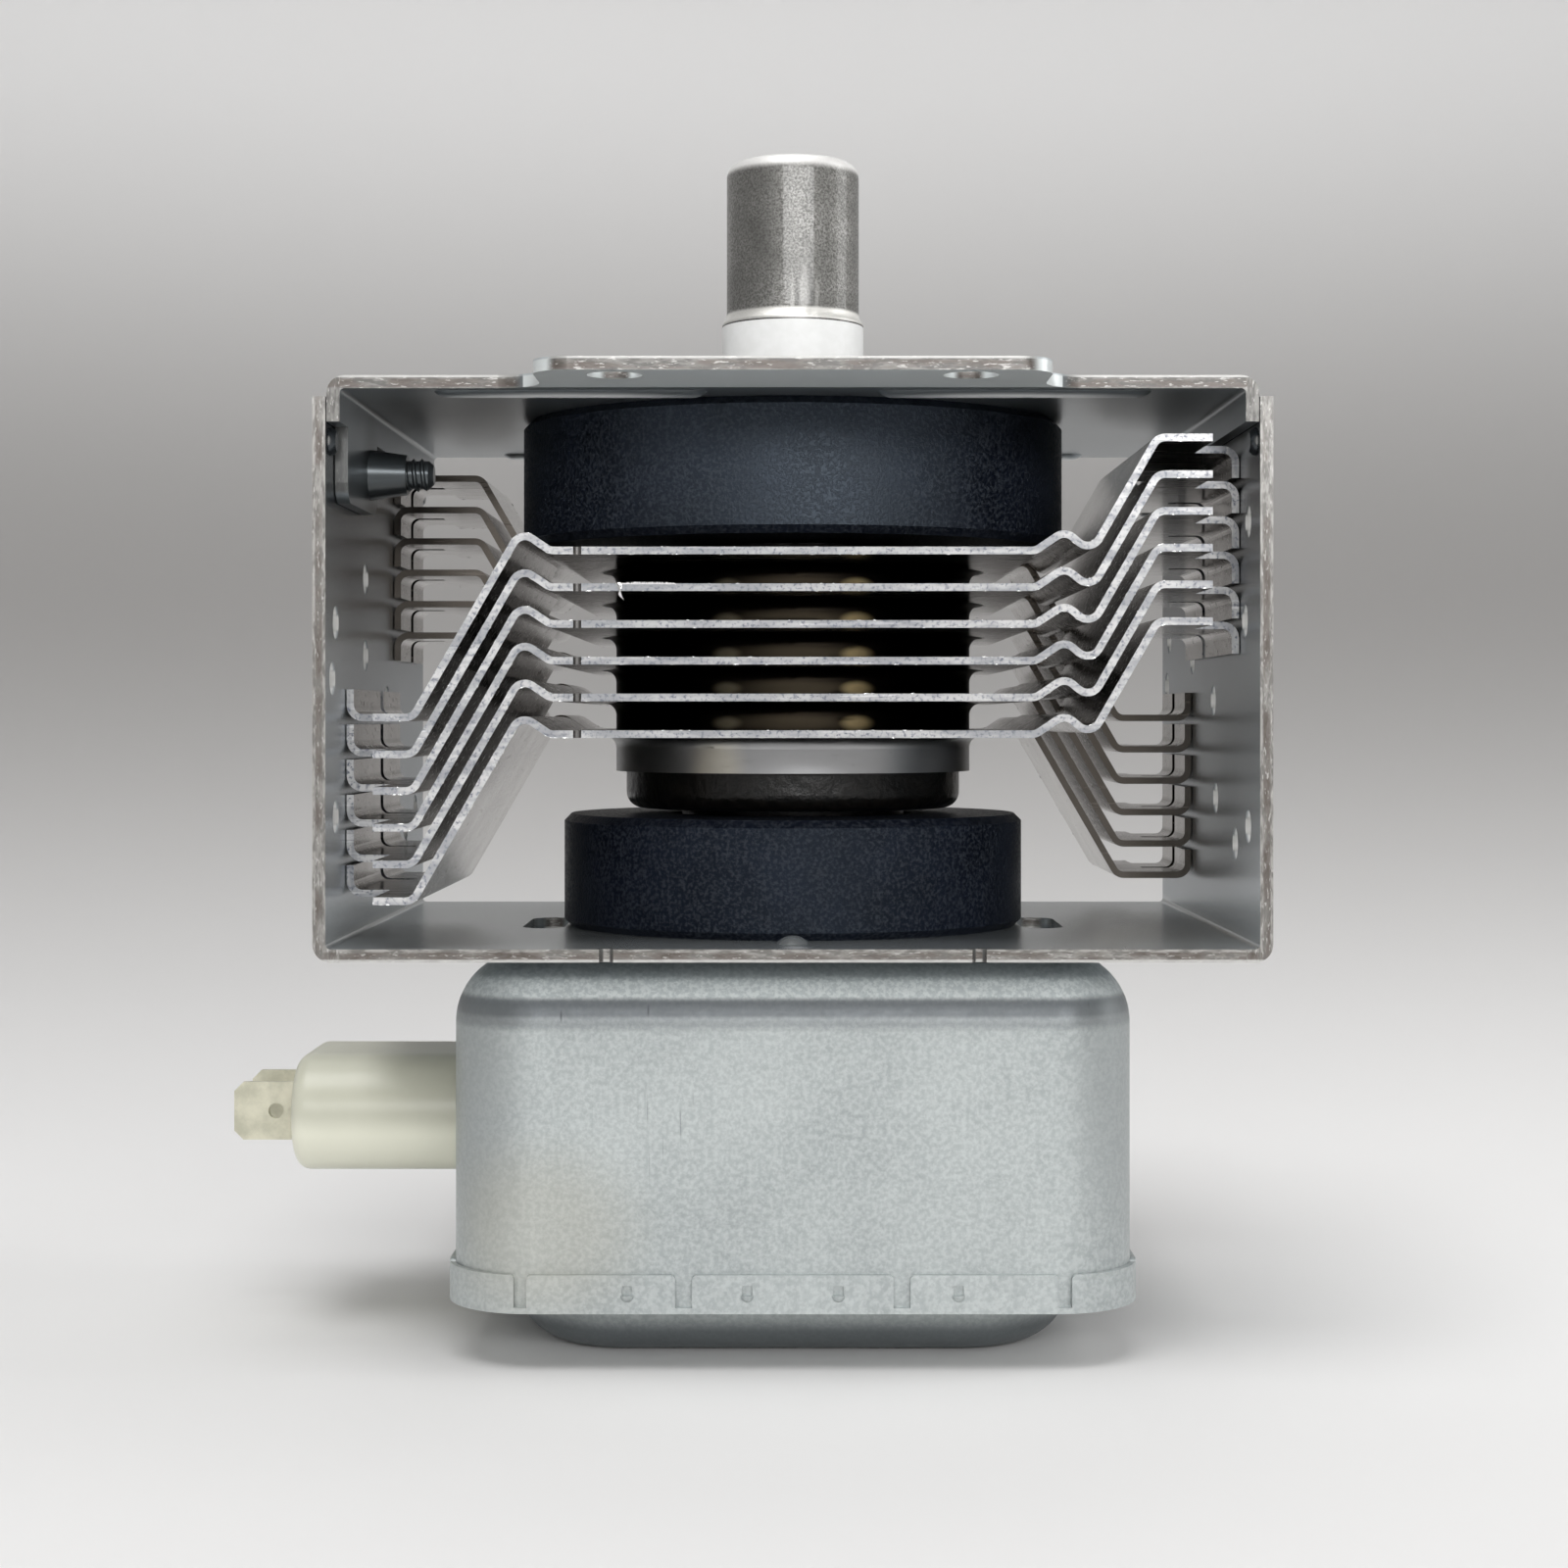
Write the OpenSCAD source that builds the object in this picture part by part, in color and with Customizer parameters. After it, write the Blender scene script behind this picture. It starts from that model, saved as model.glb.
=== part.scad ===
// Magnetron of a microwave oven: a finned vacuum tube between two ring magnets in a
// folded steel yoke, with its antenna on top and a shielded filter box underneath.
// X runs along the terminals, Y along the cooling air and Z along the antenna.
// The origin is on the antenna axis, in the mounting face of the yoke plate.

/* [Yoke] */
// Outer width of the folded frame
yoke_w = 95.2; // [92:0.2:104]
// Depth of the frame along the cooling air
yoke_d = 70; // [68:1:80]
// Height from the foot of the frame to the mounting face
yoke_h = 58.2; // [57:0.2:64]
// Thickness of the steel sheet
yoke_t = 1.3; // [1:0.1:1.5]
// Outer radius of the folds
yoke_bend_r = 1.8; // [1.6:0.1:3]
// Step from the mounting face down to the tops of the frame's walls
wall_step = 2.1; // [1.9:0.1:3]
// Depth of the plate's folded rims below the mounting face
rim_h = 4.6; // [4:0.1:5.5]
// Depth of the plate's two fixing tabs below the mounting face
tab_h = 12.2; // [11.5:0.1:14]
// Length of a fixing tab along the air
tab_len = 19; // [14:0.5:19.5]
// Diameter of the ventilation and tooling holes in the walls
wall_hole_d = 3.4; // [2.5:0.1:4]

/* [Mounting ears] */
// Width of a mounting ear
ear_w = 49.4; // [44:0.2:56]
// Reach of a mounting ear beyond the frame
ear_reach = 14; // [10:0.5:18]
// Radius of an ear's corners
ear_corner_r = 3.5; // [2:0.5:5]
// Radius of the fillets at the root of an ear
ear_root_r = 4.5; // [2:0.5:6]
// Distance between the two holes of one ear
ear_hole_spacing = 34; // [28:0.5:36]
// Distance from the hole's centre to the end of the ear
ear_hole_inset = 4; // [3.5:0.1:6]
// Diameter of a mounting hole
ear_hole_d = 5.3; // [4:0.1:6]

/* [Magnets] */
// Diameter of the upper magnet
upper_magnet_d = 60; // [56:0.5:62]
// Height of the upper magnet
upper_magnet_h = 13.9; // [12:0.1:15]
// Diameter of the lower magnet
lower_magnet_d = 51; // [46:0.5:53]
// Height of the lower magnet
lower_magnet_h = 12.4; // [11:0.1:14]
// Chamfer on the magnets' edges
magnet_chamfer = 0.8; // [0.3:0.1:1.5]

/* [Cooling fins] */
// Thickness of the aluminium sheet
fin_t = 0.75; // [0.6:0.05:0.9]
// Distance from one fin to the next
fin_pitch = 3.64; // [3.4:0.02:3.8]
// Height of the stiffening hump beside the flat middle
hump_h = 1.7; // [1.3:0.1:2]
// Slope of the wings, from the horizontal
wing_angle = 60; // [55:1:64]
// Middle radius of the bends
fin_bend_r = 1.3; // [1:0.1:1.5]
// Height of the lips that stand against the frame's walls
lip_h = 3.3; // [2.6:0.1:3.4]
// Width of the strip without lips at the ends of the wings
lip_notch_w = 4.6; // [3:0.1:5]
// Place of the slit between front and rear wings, behind the antenna axis
slit_y = 10; // [7:0.5:14]
// Width of that slit
slit_w = 0.6; // [0.3:0.1:1.2]
// Gap between the lowest wing and the floor of the frame
wing_foot_gap = 4.4; // [3:0.1:6]
// Gap between the highest wing and the plate's rim
wing_head_gap = 1.2; // [0.6:0.1:2.5]
// Outer root radius of the drawn collar
collar_root_r = 1.3; // [0.8:0.1:1.6]

/* [Tube] */
// Outer diameter of the anode cylinder
anode_d = 38; // [36:0.2:40]
// Wall of the anode cylinder
anode_wall = 2; // [1.6:0.1:2.6]
// Number of vanes
vane_count = 10; // [8:2:12]
// Thickness of a vane
vane_t = 1.9; // [1.4:0.1:2.2]
// Height of a vane
vane_h = 9.4; // [8.5:0.1:10]
// Diameter of the hole between the vanes' tips
vane_bore_d = 9; // [8.6:0.1:10]
// Thickness of a pole piece
pole_t = 1.4; // [1.2:0.1:1.6]
// Depth of a pole piece's dish
pole_dish = 2.4; // [2:0.1:2.8]
// Height of the lacquered shoulder of a seal
seal_h = 4.1; // [3.6:0.1:4.6]
// Gap between that shoulder and the magnet
seal_gap = 0.6; // [0.3:0.1:0.9]
// Wall of a seal
seal_t = 0.7; // [0.5:0.1:0.9]
// Diameter of a seal's neck in the magnets
neck_d = 24.8; // [23:0.2:26]
// Diameter of the cathode leads
lead_d = 1.5; // [1.2:0.1:1.7]

/* [Antenna] */
// Diameter of the antenna cap
cap_d = 14.8; // [14:0.1:15.4]
// Height of the antenna cap
cap_h = 18.4; // [16:0.1:20]
// Wall of the antenna cap
cap_t = 0.5; // [0.4:0.1:0.8]
// Radius of the cap's top edge
cap_edge_r = 1.7; // [1:0.1:2.5]
// Diameter of the alumina insulator
insulator_d = 15.8; // [15.6:0.1:17]
// Height of the insulator's top above the mounting face
insulator_top = 9.7; // [8:0.1:12]
// Height of the mesh gasket
gasket_h = 3.4; // [2.5:0.1:4]
// Width of the mesh gasket's ring
gasket_w = 4.6; // [3.5:0.1:6]

/* [Filter box] */
// Width of the box
box_w = 70; // [66:0.5:76]
// Depth of the box
box_d = 60; // [56:0.5:66]
// Height of the box
box_h = 35.2; // [34:0.1:42]
// Thickness of the box's and the lid's sheet
box_t = 0.6; // [0.5:0.1:0.8]
// Radius of the box's upright corners
box_corner_r = 8.5; // [8:0.5:12]
// Radius of the box's shoulder
box_edge_r = 7.2; // [4:0.1:7.6]
// Height of the lid's folded flange
flange_h = 3.9; // [3.5:0.1:6]
// Width of the slots along that flange's sides
flange_slot_w = 1.7; // [1:0.1:2]
// Width of the slots at its corners
corner_slot_w = 1.3; // [1:0.1:2]
// Depth of the lid's bulge
bulge_h = 6; // [4:0.1:6.5]
// Width of the lid's bulge
bulge_w = 59; // [52:0.5:60]
// Depth of the lid's bulge along the air
bulge_d = 49; // [42:0.5:50]

/* [Terminals] */
// Height of the capacitor's oval body
block_h = 12.7; // [12:0.1:14]
// Width of the oval body
block_w = 23; // [21:0.5:26]
// Reach of the oval body outside the box
block_reach = 19.4; // [16:0.2:24]
// Length of the oval body inside the box
block_inside = 11; // [9:0.5:13]
// Height of the body's middle below the box's top
block_drop = 19; // [16:0.2:20]
// Width of a push-on tab
tab_w = 6.35; // [6:0.05:6.6]
// Thickness of a push-on tab
tab_t = 0.8; // [0.6:0.1:1]
// Reach of a tab beyond the body
tab_reach = 7.1; // [6.5:0.1:9]
// Distance between the two tabs
tab_spacing = 10; // [8:0.5:12]
// Wire diameter of the chokes
choke_wire_d = 1.4; // [1.1:0.1:1.5]
// Diameter of the chokes' ferrite cores
choke_core_d = 5; // [4:0.1:5.4]

/* [Fits] */
// Gap between pieces that slide into each other
fit_gap = 0.1; // [0.05:0.01:0.15]
// Gap between the tube's necks and what surrounds them
neck_gap = 0.3; // [0.2:0.05:0.4]

/* [Hidden] */
$fn = 64;

// Overshoot of a cutting solid past the face that it cuts
cut = 1;

// Colours of the finishes
zinc = "#aeb6bb";
bare_aluminium = "#d5d7d6";
ferrite = "#23262d";
copper = "#b87342";
drawn_steel = "#9c9c98";
iron = "#7d7f82";
alumina = "#f3f3f0";
ivory = "#e4e5d6";
lacquer = "#141414";
tin = "#c9c8c2";
tungsten = "#6a6a6c";
enamel = "#a5602c";

// Heights of the stack along the antenna axis
plate_under_z = -yoke_t;
upper_magnet_z = plate_under_z - upper_magnet_h;
foot_z = -yoke_h;
floor_z = foot_z + yoke_t;
lower_magnet_z = floor_z + lower_magnet_h;
anode_top_z = upper_magnet_z - seal_gap - seal_h;
anode_bottom_z = lower_magnet_z + seal_gap + seal_h;
anode_mid_z = (anode_top_z + anode_bottom_z) / 2;
box_bottom_z = foot_z - box_h;
block_z = foot_z - block_drop;

// Sizes shared by the yoke's two sheets
wall_in_x = yoke_w / 2 - yoke_t;
rim_out_x = wall_in_x - fit_gap;
rim_in_x = rim_out_x - yoke_t;
neck_hole_r = neck_d / 2 + neck_gap;

// Fixing tabs, their drawn bosses and screws
tab_end_y = 30;
tab_mid_y = tab_end_y - tab_len / 2;
tab_corner_r = 2;
screw_y = 15;
screw_lift = 0.3;
screw_z = screw_lift - (rim_h + tab_h) / 2;
screw_d = 3;
screw_reach = 6.7;
screw_tip = 0.5;
screw_head_d = 5.8;
screw_crown_d = 4.2;
screw_head_h = 2;
screw_recess_w = 0.9;
screw_recess_len = 3.2;
screw_recess_depth = 1;
boss_h = 3.9;
boss_root_d = 5.4;
boss_tip_d = 4.2;

// Stiffening beads of the plate, and the pips that hold up its rims
bead_inset = 3;
bead_y = yoke_d / 2 - bead_inset;
bead_end_x = 34.5;
bead_inner_x = 10;
bead_r = 2;
bead_depth = 0.6;
pip_r = 1.6;
pip_depth = 1;
pip_inset = 3;
pip_y = yoke_d / 2 - pip_inset;
pip_z = -rim_h - pip_r - fit_gap;

// Tooling holes as [distance in front of the axis, height], one list for each wall's front half
right_wall_holes = [[28, -14], [26, -24], [5.4, -32], [7, -42.7], [28, -45], [20, -47.1]];
left_wall_holes = [[29, -24.3], [10, -18.9], [10, -27.2], [31, -30], [29, -44]];

// Slots, dimples and edge nicks of the frame's floor
floor_slot_w = 4.6;
floor_slot_len = 16;
floor_slot_under = 0.4;
floor_slot_x = lower_magnet_d / 2 + floor_slot_w / 2 - floor_slot_under;
dimple_r = 2.2;
dimple_h = 0.8;
nick_x = 18.5;
nick_r = 0.7;

// Overlap of an ear's outline with the plate that carries it
ear_overlap = 1;

// Fin stack
fin_count = 6;
fin_first_z = upper_magnet_z - hump_h - fin_t / 2 - fit_gap;
fin_last_z = fin_first_z - (fin_count - 1) * fin_pitch;
wing_rise = -rim_h - wing_head_gap - fin_t / 2 - fin_first_z;
wing_drop = fin_last_z - floor_z - wing_foot_gap - fin_t / 2;
bend_steps = 6;
apex_lift = 0.25;
apex_z = hump_h + apex_lift;
valley_z = -0.2;
magnet_wing_gap = 0.5;
wing_run = 1 / tan(wing_angle);
valley_x = upper_magnet_d / 2 + magnet_wing_gap + fin_t / 2 / sin(wing_angle)
    - (upper_magnet_z - fin_first_z - valley_z) * wing_run;
hump_fall = 2.6;
hump_rise = 2.9;
hump_x = valley_x - hump_fall;
root_x = hump_x - hump_rise;
lip_x = wall_in_x - fit_gap - fin_t / 2;
lip_line_h = lip_h - fin_t / 2;
lip_front_y = -23;
lip_split_y = -4;
rear_split_y = 19.5;
lip_rear_y = 29;
lip_gap = 2;
edge_notch_r = 0.4;
edge_notch_in = 2.7;
edge_notch_x = root_x - edge_notch_in;

// Drawn collars on the anode
anode_r = anode_d / 2;
collar_out_r = anode_r + fin_t;
flare_x = collar_out_r + collar_root_r;
flare_z = -fin_t / 2 - collar_root_r;
flare_rise = sqrt(pow(collar_root_r + fin_t, 2) - pow(collar_root_r, 2));
collar_len = fin_pitch - flare_z - flare_rise - fit_gap;
last_collar_len = fin_last_z - anode_bottom_z;

// Tube
anode_bore_r = anode_r - anode_wall;
pole_seat = anode_wall * 0.4;
pole_rim_r = anode_bore_r + pole_seat;
pole_hole_gap = 0.3;
pole_hole_r = vane_bore_d / 2 + pole_hole_gap;
dish_rim_w = 3;
dish_top_r = anode_bore_r - dish_rim_w;
dish_floor_w = 1.8;
dish_foot_r = pole_hole_r + dish_floor_w;
dish_wall_shift = 0.4;
seal_step = 0.4;
seal_r = anode_r - seal_step;
seal_edge_r = 1.8;
seal_land = 3;
throat_h = 3;
upper_seal_top = 0.6;
stem_drop = 3.4;
lower_seal_end = foot_z - stem_drop;
throat_r = insulator_d / 2;
stem_throat_r = 8.5;
stem_h = 7;
strap_groove = 1.2;
strap_w = 0.7;
strap_groove_w = strap_w + 0.6;
strap_inset = 1.9;
strap_pitch = 1.6;
strap_inner_r = vane_bore_d / 2 + strap_inset;
strap_outer_r = strap_inner_r + strap_pitch;
hat_d = 6.8;
hat_t = 1;
hat_gap = 0.6;
hat_hole_gap = 0.8;
spigot_gap = 0.05;
filament_r = 1.95;
filament_wire_r = 0.25;
filament_turns = 9;
filament_steps = 14;
filament_sides = 6;
filament_h = vane_h + 2 * hat_gap;
side_lead_x = 2.55;
lead_end_h = 3.6;
lead_end_z = block_z + lead_end_h;

// Antenna
tube_flange_t = 0.6;
tube_r = 3;
tube_bore_r = 2;
tube_len = 11;
tube_end_t = 1;
pinch_len = 2.6;
pinch_w = 0.8;
cap_skirt = (insulator_d - cap_d) / 2;
skirt_h = 1.7;
skirt_r = skirt_h * 1.15;
rod_r = 1.2;
rod_gap = 0.8;
rod_inset = 1.9;
rod_bend_h = 3;
rod_end_gap = 2;
rod_root_x = strap_outer_r + rod_inset;
rod_bend_z = anode_top_z + rod_bend_h;
insulator_wall = 2.4;
insulator_bore_r = insulator_d / 2 - insulator_wall;
gasket_overhang = 0.8;
gasket_mid_r = neck_hole_r + gasket_w / 2 - gasket_overhang;

// Filter box and lid
bulge_corner_r = 12;
bulge_edge_flat = 0.2;
bulge_edge_r = bulge_h - bulge_edge_flat;
flange_gap = 0.05;
flange_in_w = box_w + 2 * flange_gap;
flange_in_d = box_d + 2 * flange_gap;
flange_corner_r = box_corner_r + flange_gap;
slot_corner_in = 1;
slot_corner = box_corner_r - slot_corner_in;
slot_mid = 11;
slot_edge_r = 0.5;
clinch_r = 0.75;
clinch_proud = 0.45;
clinch_pocket_w = 1.05;
clinch_pocket_h = 0.95;
clinch_pocket_depth = 0.35;
clinch_places = [4.6, 16.7];
clinch_z = flange_h * 0.48;

// Chokes
choke_wire_r = choke_wire_d / 2;
choke_steps = 16;
choke_sides = 8;
choke_core_gap = 0.01;
choke_tab_gap = 2.2;
choke_r = choke_core_d / 2 / cos(180 / choke_steps) + choke_wire_r + choke_core_gap;
choke_y = tab_spacing / 2 + tab_t / 2 + choke_r + choke_wire_r + choke_tab_gap;
choke_z = lead_end_z - choke_r + choke_wire_r;
choke_turns = 9.5;
solder_gap = 0.05;
tab_tail = 10;
tab_inner_x = -box_w / 2 + block_inside + tab_tail;
choke_inset = 2;
choke_start_x = tab_inner_x - choke_inset;
choke_core_len = 24;
choke_core_lead = 2;

// Capacitor body, its earth plate and the push-on tabs
block_end_r = 1.6;
plate_margin_w = 7;
plate_margin_h = 3;
plate_w = block_w + 2 * plate_margin_w;
plate_h = block_h + 2 * plate_margin_h;
plate_t = 1;
plate_corner_r = 3;
tab_tip_cut = 1;
tab_hole_d = 1.7;
tab_hole_inset = 4.6;

// Direction from one point to another
function heading(a, b) = (b - a) / norm(b - a);

// Direction a quarter turn to the left
function left_of(d) = [-d[1], d[0]];

// Direction turned by an angle
function turned(d, angle) = [
    d[0] * cos(angle) - d[1] * sin(angle),
    d[0] * sin(angle) + d[1] * cos(angle)
];

// Angle from one direction to the next, positive to the left
function turn_between(d, e) = atan2(d[0] * e[1] - d[1] * e[0], d[0] * e[0] + d[1] * e[1]);

// Arc that rounds the corner path[i] with radius r, moved aside by side
function bend_points(path, i, r, side) =
    let (
        d = heading(path[i - 1], path[i]),
        turn = turn_between(d, heading(path[i], path[i + 1])),
        start = path[i] - d * r * tan(abs(turn) / 2),
        centre = start + left_of(d) * sign(turn) * r
    )
    [for (k = [0:bend_steps])
        centre + turned(left_of(d), turn * k / bend_steps) * (side - sign(turn) * r)];

// One face of a sheet that follows a path with rounded corners
function sheet_face(path, r, side) =
    let (last = len(path) - 1)
    concat(
        [path[0] + left_of(heading(path[0], path[1])) * side],
        [for (i = [1:last - 1]) each bend_points(path, i, r, side)],
        [path[last] + left_of(heading(path[last - 1], path[last])) * side]
    );

// List in the opposite order
function reversed(list) = [for (i = [len(list) - 1:-1:0]) list[i]];

// Path seen in a mirror across the antenna axis
function mirrored(path) = reversed([for (p = path) [-p[0], p[1]]]);

// Closed tube along a path that never runs along X
module wire(path, r, sides) {
    last = len(path) - 1;
    rings = [for (i = [0:last])
        let (
            t = heading(path[max(i - 1, 0)], path[min(i + 1, last)]),
            u = heading([0, 0, 0], [1, 0, 0] - t * t[0]),
            v = cross(t, u)
        )
        for (k = [0:sides - 1])
            path[i] + r * (u * cos(360 * k / sides) + v * sin(360 * k / sides))];
    walls = [for (i = [0:last - 1], k = [0:sides - 1])
        let (n = (k + 1) % sides)
        [i * sides + k, (i + 1) * sides + k, (i + 1) * sides + n, i * sides + n]];
    ends = [
        [for (k = [0:sides - 1]) k],
        [for (k = [sides - 1:-1:0]) last * sides + k]
    ];
    polyhedron(rings, concat(walls, ends));
}

// Solid laid along Y from a profile in X and Z
module along_y(y0, y1) {
    translate([0, y1, 0]) rotate([90, 0, 0]) linear_extrude(y1 - y0) children();
}

// Half of a block's section, from its middle to a rounded upper edge
module rounded_step(w, h, r) {
    square([w - r, h]);
    square([w, h - r]);
    translate([w - r, h - r]) intersection() {
        circle(r);
        square(r);
    }
}

// Block with round upright corners and a rounded top edge, standing on z = 0
module drawn_block(w, d, h, corner_r, edge_r) {
    middle_w = w - 2 * corner_r;
    middle_d = d - 2 * corner_r;
    for (side = [0, 1]) mirror([0, side, 0]) {
        translate([-middle_w / 2, 0, 0]) rotate([90, 0, 90])
            linear_extrude(middle_w) rounded_step(d / 2, h, edge_r);
    }
    for (sx = [0, 1]) mirror([sx, 0, 0]) {
        if (middle_d > 0) translate([middle_w / 2, middle_d / 2, 0]) rotate([90, 0, 0])
            linear_extrude(middle_d) rounded_step(corner_r, h, edge_r);
        for (sy = [0, 1]) mirror([0, sy, 0]) translate([middle_w / 2, middle_d / 2, 0])
            rotate_extrude(angle = 90) rounded_step(corner_r, h, edge_r);
    }
}

// Flat outline with round corners
module rounded_rect(w, d, r) {
    square([w - 2 * r, d], center = true);
    square([w, d - 2 * r], center = true);
    for (sx = [-1, 1], sy = [-1, 1]) translate([sx * (w / 2 - r), sy * (d / 2 - r)]) circle(r);
}

// Flat outline with half-round ends, wider than it is high
module oval(w, h) {
    square([w - h, h], center = true);
    for (side = [-1, 1]) translate([side * (w - h) / 2, 0]) circle(d = h);
}

// Oval bar along X
module oval_bar(x0, x1, w, h) {
    translate([x0, 0, block_z]) rotate([90, 0, 90]) linear_extrude(x1 - x0) oval(w, h);
}

// Upper half of a folded channel: a top sheet with both ends folded down
module channel(out_x, depth, r) {
    translate([0, -depth / 2]) square([2 * (out_x - r), depth], center = true);
    translate([0, -(depth + r) / 2]) square([2 * out_x, depth - r], center = true);
    for (side = [-1, 1]) translate([side * (out_x - r), -r]) circle(r);
}

// Ring magnet standing on z = 0
module ring_magnet(d, h) {
    c = magnet_chamfer;
    rotate_extrude() polygon([
        [neck_hole_r + c, 0], [d / 2 - c, 0], [d / 2, c], [d / 2, h - c], [d / 2 - c, h],
        [neck_hole_r + c, h], [neck_hole_r, h - c], [neck_hole_r, c]
    ]);
}

module upper_magnet() {
    color(ferrite) translate([0, 0, upper_magnet_z]) ring_magnet(upper_magnet_d, upper_magnet_h);
}

module lower_magnet() {
    color(ferrite) translate([0, 0, floor_z]) ring_magnet(lower_magnet_d, lower_magnet_h);
}

// Outline of the mounting ear in front of the frame, with its root fillets
module ear_outline() {
    edge_y = -yoke_d / 2;
    end_y = edge_y - ear_reach;
    root_y = edge_y + ear_overlap;
    corner_x = ear_w / 2 - ear_corner_r;
    corner_y = end_y + ear_corner_r;
    translate([-ear_w / 2, corner_y]) square([ear_w, root_y - corner_y]);
    translate([-corner_x, end_y]) square([2 * corner_x, root_y - end_y]);
    for (side = [-1, 1]) translate([side * corner_x, corner_y]) circle(ear_corner_r);
    for (side = [0, 1]) mirror([side, 0]) translate([ear_w / 2, edge_y]) difference() {
        translate([0, -ear_root_r]) square([ear_root_r, ear_root_r + ear_overlap]);
        translate([ear_root_r, -ear_root_r]) circle(ear_root_r);
    }
}

// Two round-ended bars across the plate, which form a pair of beads and their grooves
module bead_bars(lift) {
    length = bead_end_x - bead_inner_x;
    mid_x = (bead_end_x + bead_inner_x) / 2;
    mid_z = plate_under_z - bead_depth + bead_r + lift;
    for (side = [-1, 1]) translate([side * mid_x, bead_y, mid_z]) {
        rotate([0, 90, 0]) cylinder(r = bead_r, h = length, center = true);
        for (end = [-1, 1]) translate([end * length / 2, 0, 0]) sphere(bead_r);
    }
}

// Fixing tab at the left front, with its drawn boss
module fixing_tab() {
    corner_y = tab_len / 2 - tab_corner_r;
    corner_z = tab_corner_r - tab_h;
    translate([-rim_out_x, -tab_mid_y, 0]) rotate([90, 0, 90]) linear_extrude(yoke_t) {
        translate([-tab_len / 2, corner_z]) square([tab_len, cut - rim_h - corner_z]);
        translate([-corner_y, -tab_h]) square([2 * corner_y, tab_corner_r]);
        for (side = [-1, 1]) translate([side * corner_y, corner_z]) circle(tab_corner_r);
    }
    translate([-rim_in_x, -screw_y, screw_z]) rotate([0, 90, 0])
        cylinder(d1 = boss_root_d, d2 = boss_tip_d, h = boss_h);
}

module yoke_plate() {
    ear_hole_y = -yoke_d / 2 - ear_reach + ear_hole_inset;
    color(zinc) difference() {
        union() {
            along_y(-yoke_d / 2, yoke_d / 2) difference() {
                channel(rim_out_x, rim_h, yoke_bend_r);
                translate([0, plate_under_z]) channel(rim_in_x, rim_h, yoke_bend_r - yoke_t);
            }
            for (turn = [0, 180]) rotate(turn) {
                translate([0, 0, plate_under_z]) linear_extrude(yoke_t) ear_outline();
                fixing_tab();
                intersection() {
                    bead_bars(0);
                    translate([0, bead_y, plate_under_z - bead_r + yoke_t / 2])
                        cube([2 * bead_end_x + 3 * bead_r, 3 * bead_r, 2 * bead_r], center = true);
                }
            }
        }
        translate([0, 0, plate_under_z - cut]) cylinder(r = neck_hole_r, h = yoke_t + 2 * cut);
        for (turn = [0, 180]) rotate(turn) {
            bead_bars(yoke_t);
            for (side = [-1, 1])
                translate([side * ear_hole_spacing / 2, ear_hole_y, plate_under_z - cut])
                    cylinder(d = ear_hole_d, h = yoke_t + 2 * cut);
            translate([-rim_out_x - cut, -screw_y, screw_z]) rotate([0, 90, 0])
                cylinder(d = screw_d + fit_gap, h = yoke_t + boss_h + 2 * cut);
        }
    }
}

// Tooling hole in the right wall, at a distance in front of the axis
module wall_hole(front, height) {
    translate([wall_in_x - cut, -front, height]) rotate([0, 90, 0])
        cylinder(d = wall_hole_d, h = yoke_t + 2 * cut);
}

module yoke_frame() {
    wall_h = yoke_h - wall_step;
    dimple_y = lower_magnet_d / 2 + dimple_r;
    color(zinc) difference() {
        union() {
            along_y(-yoke_d / 2, yoke_d / 2) difference() {
                translate([0, foot_z]) mirror([0, 1]) channel(yoke_w / 2, wall_h, yoke_bend_r);
                translate([0, floor_z]) mirror([0, 1]) channel(wall_in_x, wall_h, yoke_bend_r - yoke_t);
            }
            for (sx = [0, 1], sy = [-1, 1]) mirror([sx, 0, 0]) intersection() {
                translate([wall_in_x - pip_depth + pip_r, sy * pip_y, pip_z]) sphere(pip_r);
                translate([wall_in_x, sy * pip_y, pip_z])
                    cube([yoke_t, 2 * pip_r, 2 * pip_r], center = true);
            }
            for (sy = [-1, 1]) translate([0, sy * dimple_y, floor_z]) intersection() {
                translate([0, 0, dimple_h - dimple_r]) sphere(dimple_r);
                translate([0, 0, dimple_r - yoke_t / 2]) cube(2 * dimple_r, center = true);
            }
        }
        translate([0, 0, foot_z - cut]) cylinder(r = neck_hole_r, h = yoke_t + 2 * cut);
        for (side = [-1, 1]) {
            translate([side * floor_slot_x, 0, foot_z - cut]) linear_extrude(yoke_t + 2 * cut)
                rotate(90) oval(floor_slot_len, floor_slot_w);
            for (edge = [-1, 1]) translate([side * nick_x, edge * yoke_d / 2, foot_z - cut])
                cylinder(r = nick_r, h = yoke_t + 2 * cut);
        }
        for (turn = [0, 180]) rotate(turn) {
            for (hole = right_wall_holes) wall_hole(hole[0], hole[1]);
            mirror([1, 0, 0]) for (hole = left_wall_holes) wall_hole(hole[0], hole[1]);
            mirror([1, 0, 0]) translate([wall_in_x - cut, -screw_y, screw_z]) rotate([0, 90, 0])
                cylinder(d = screw_d + fit_gap, h = yoke_t + 2 * cut);
        }
    }
}

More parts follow.
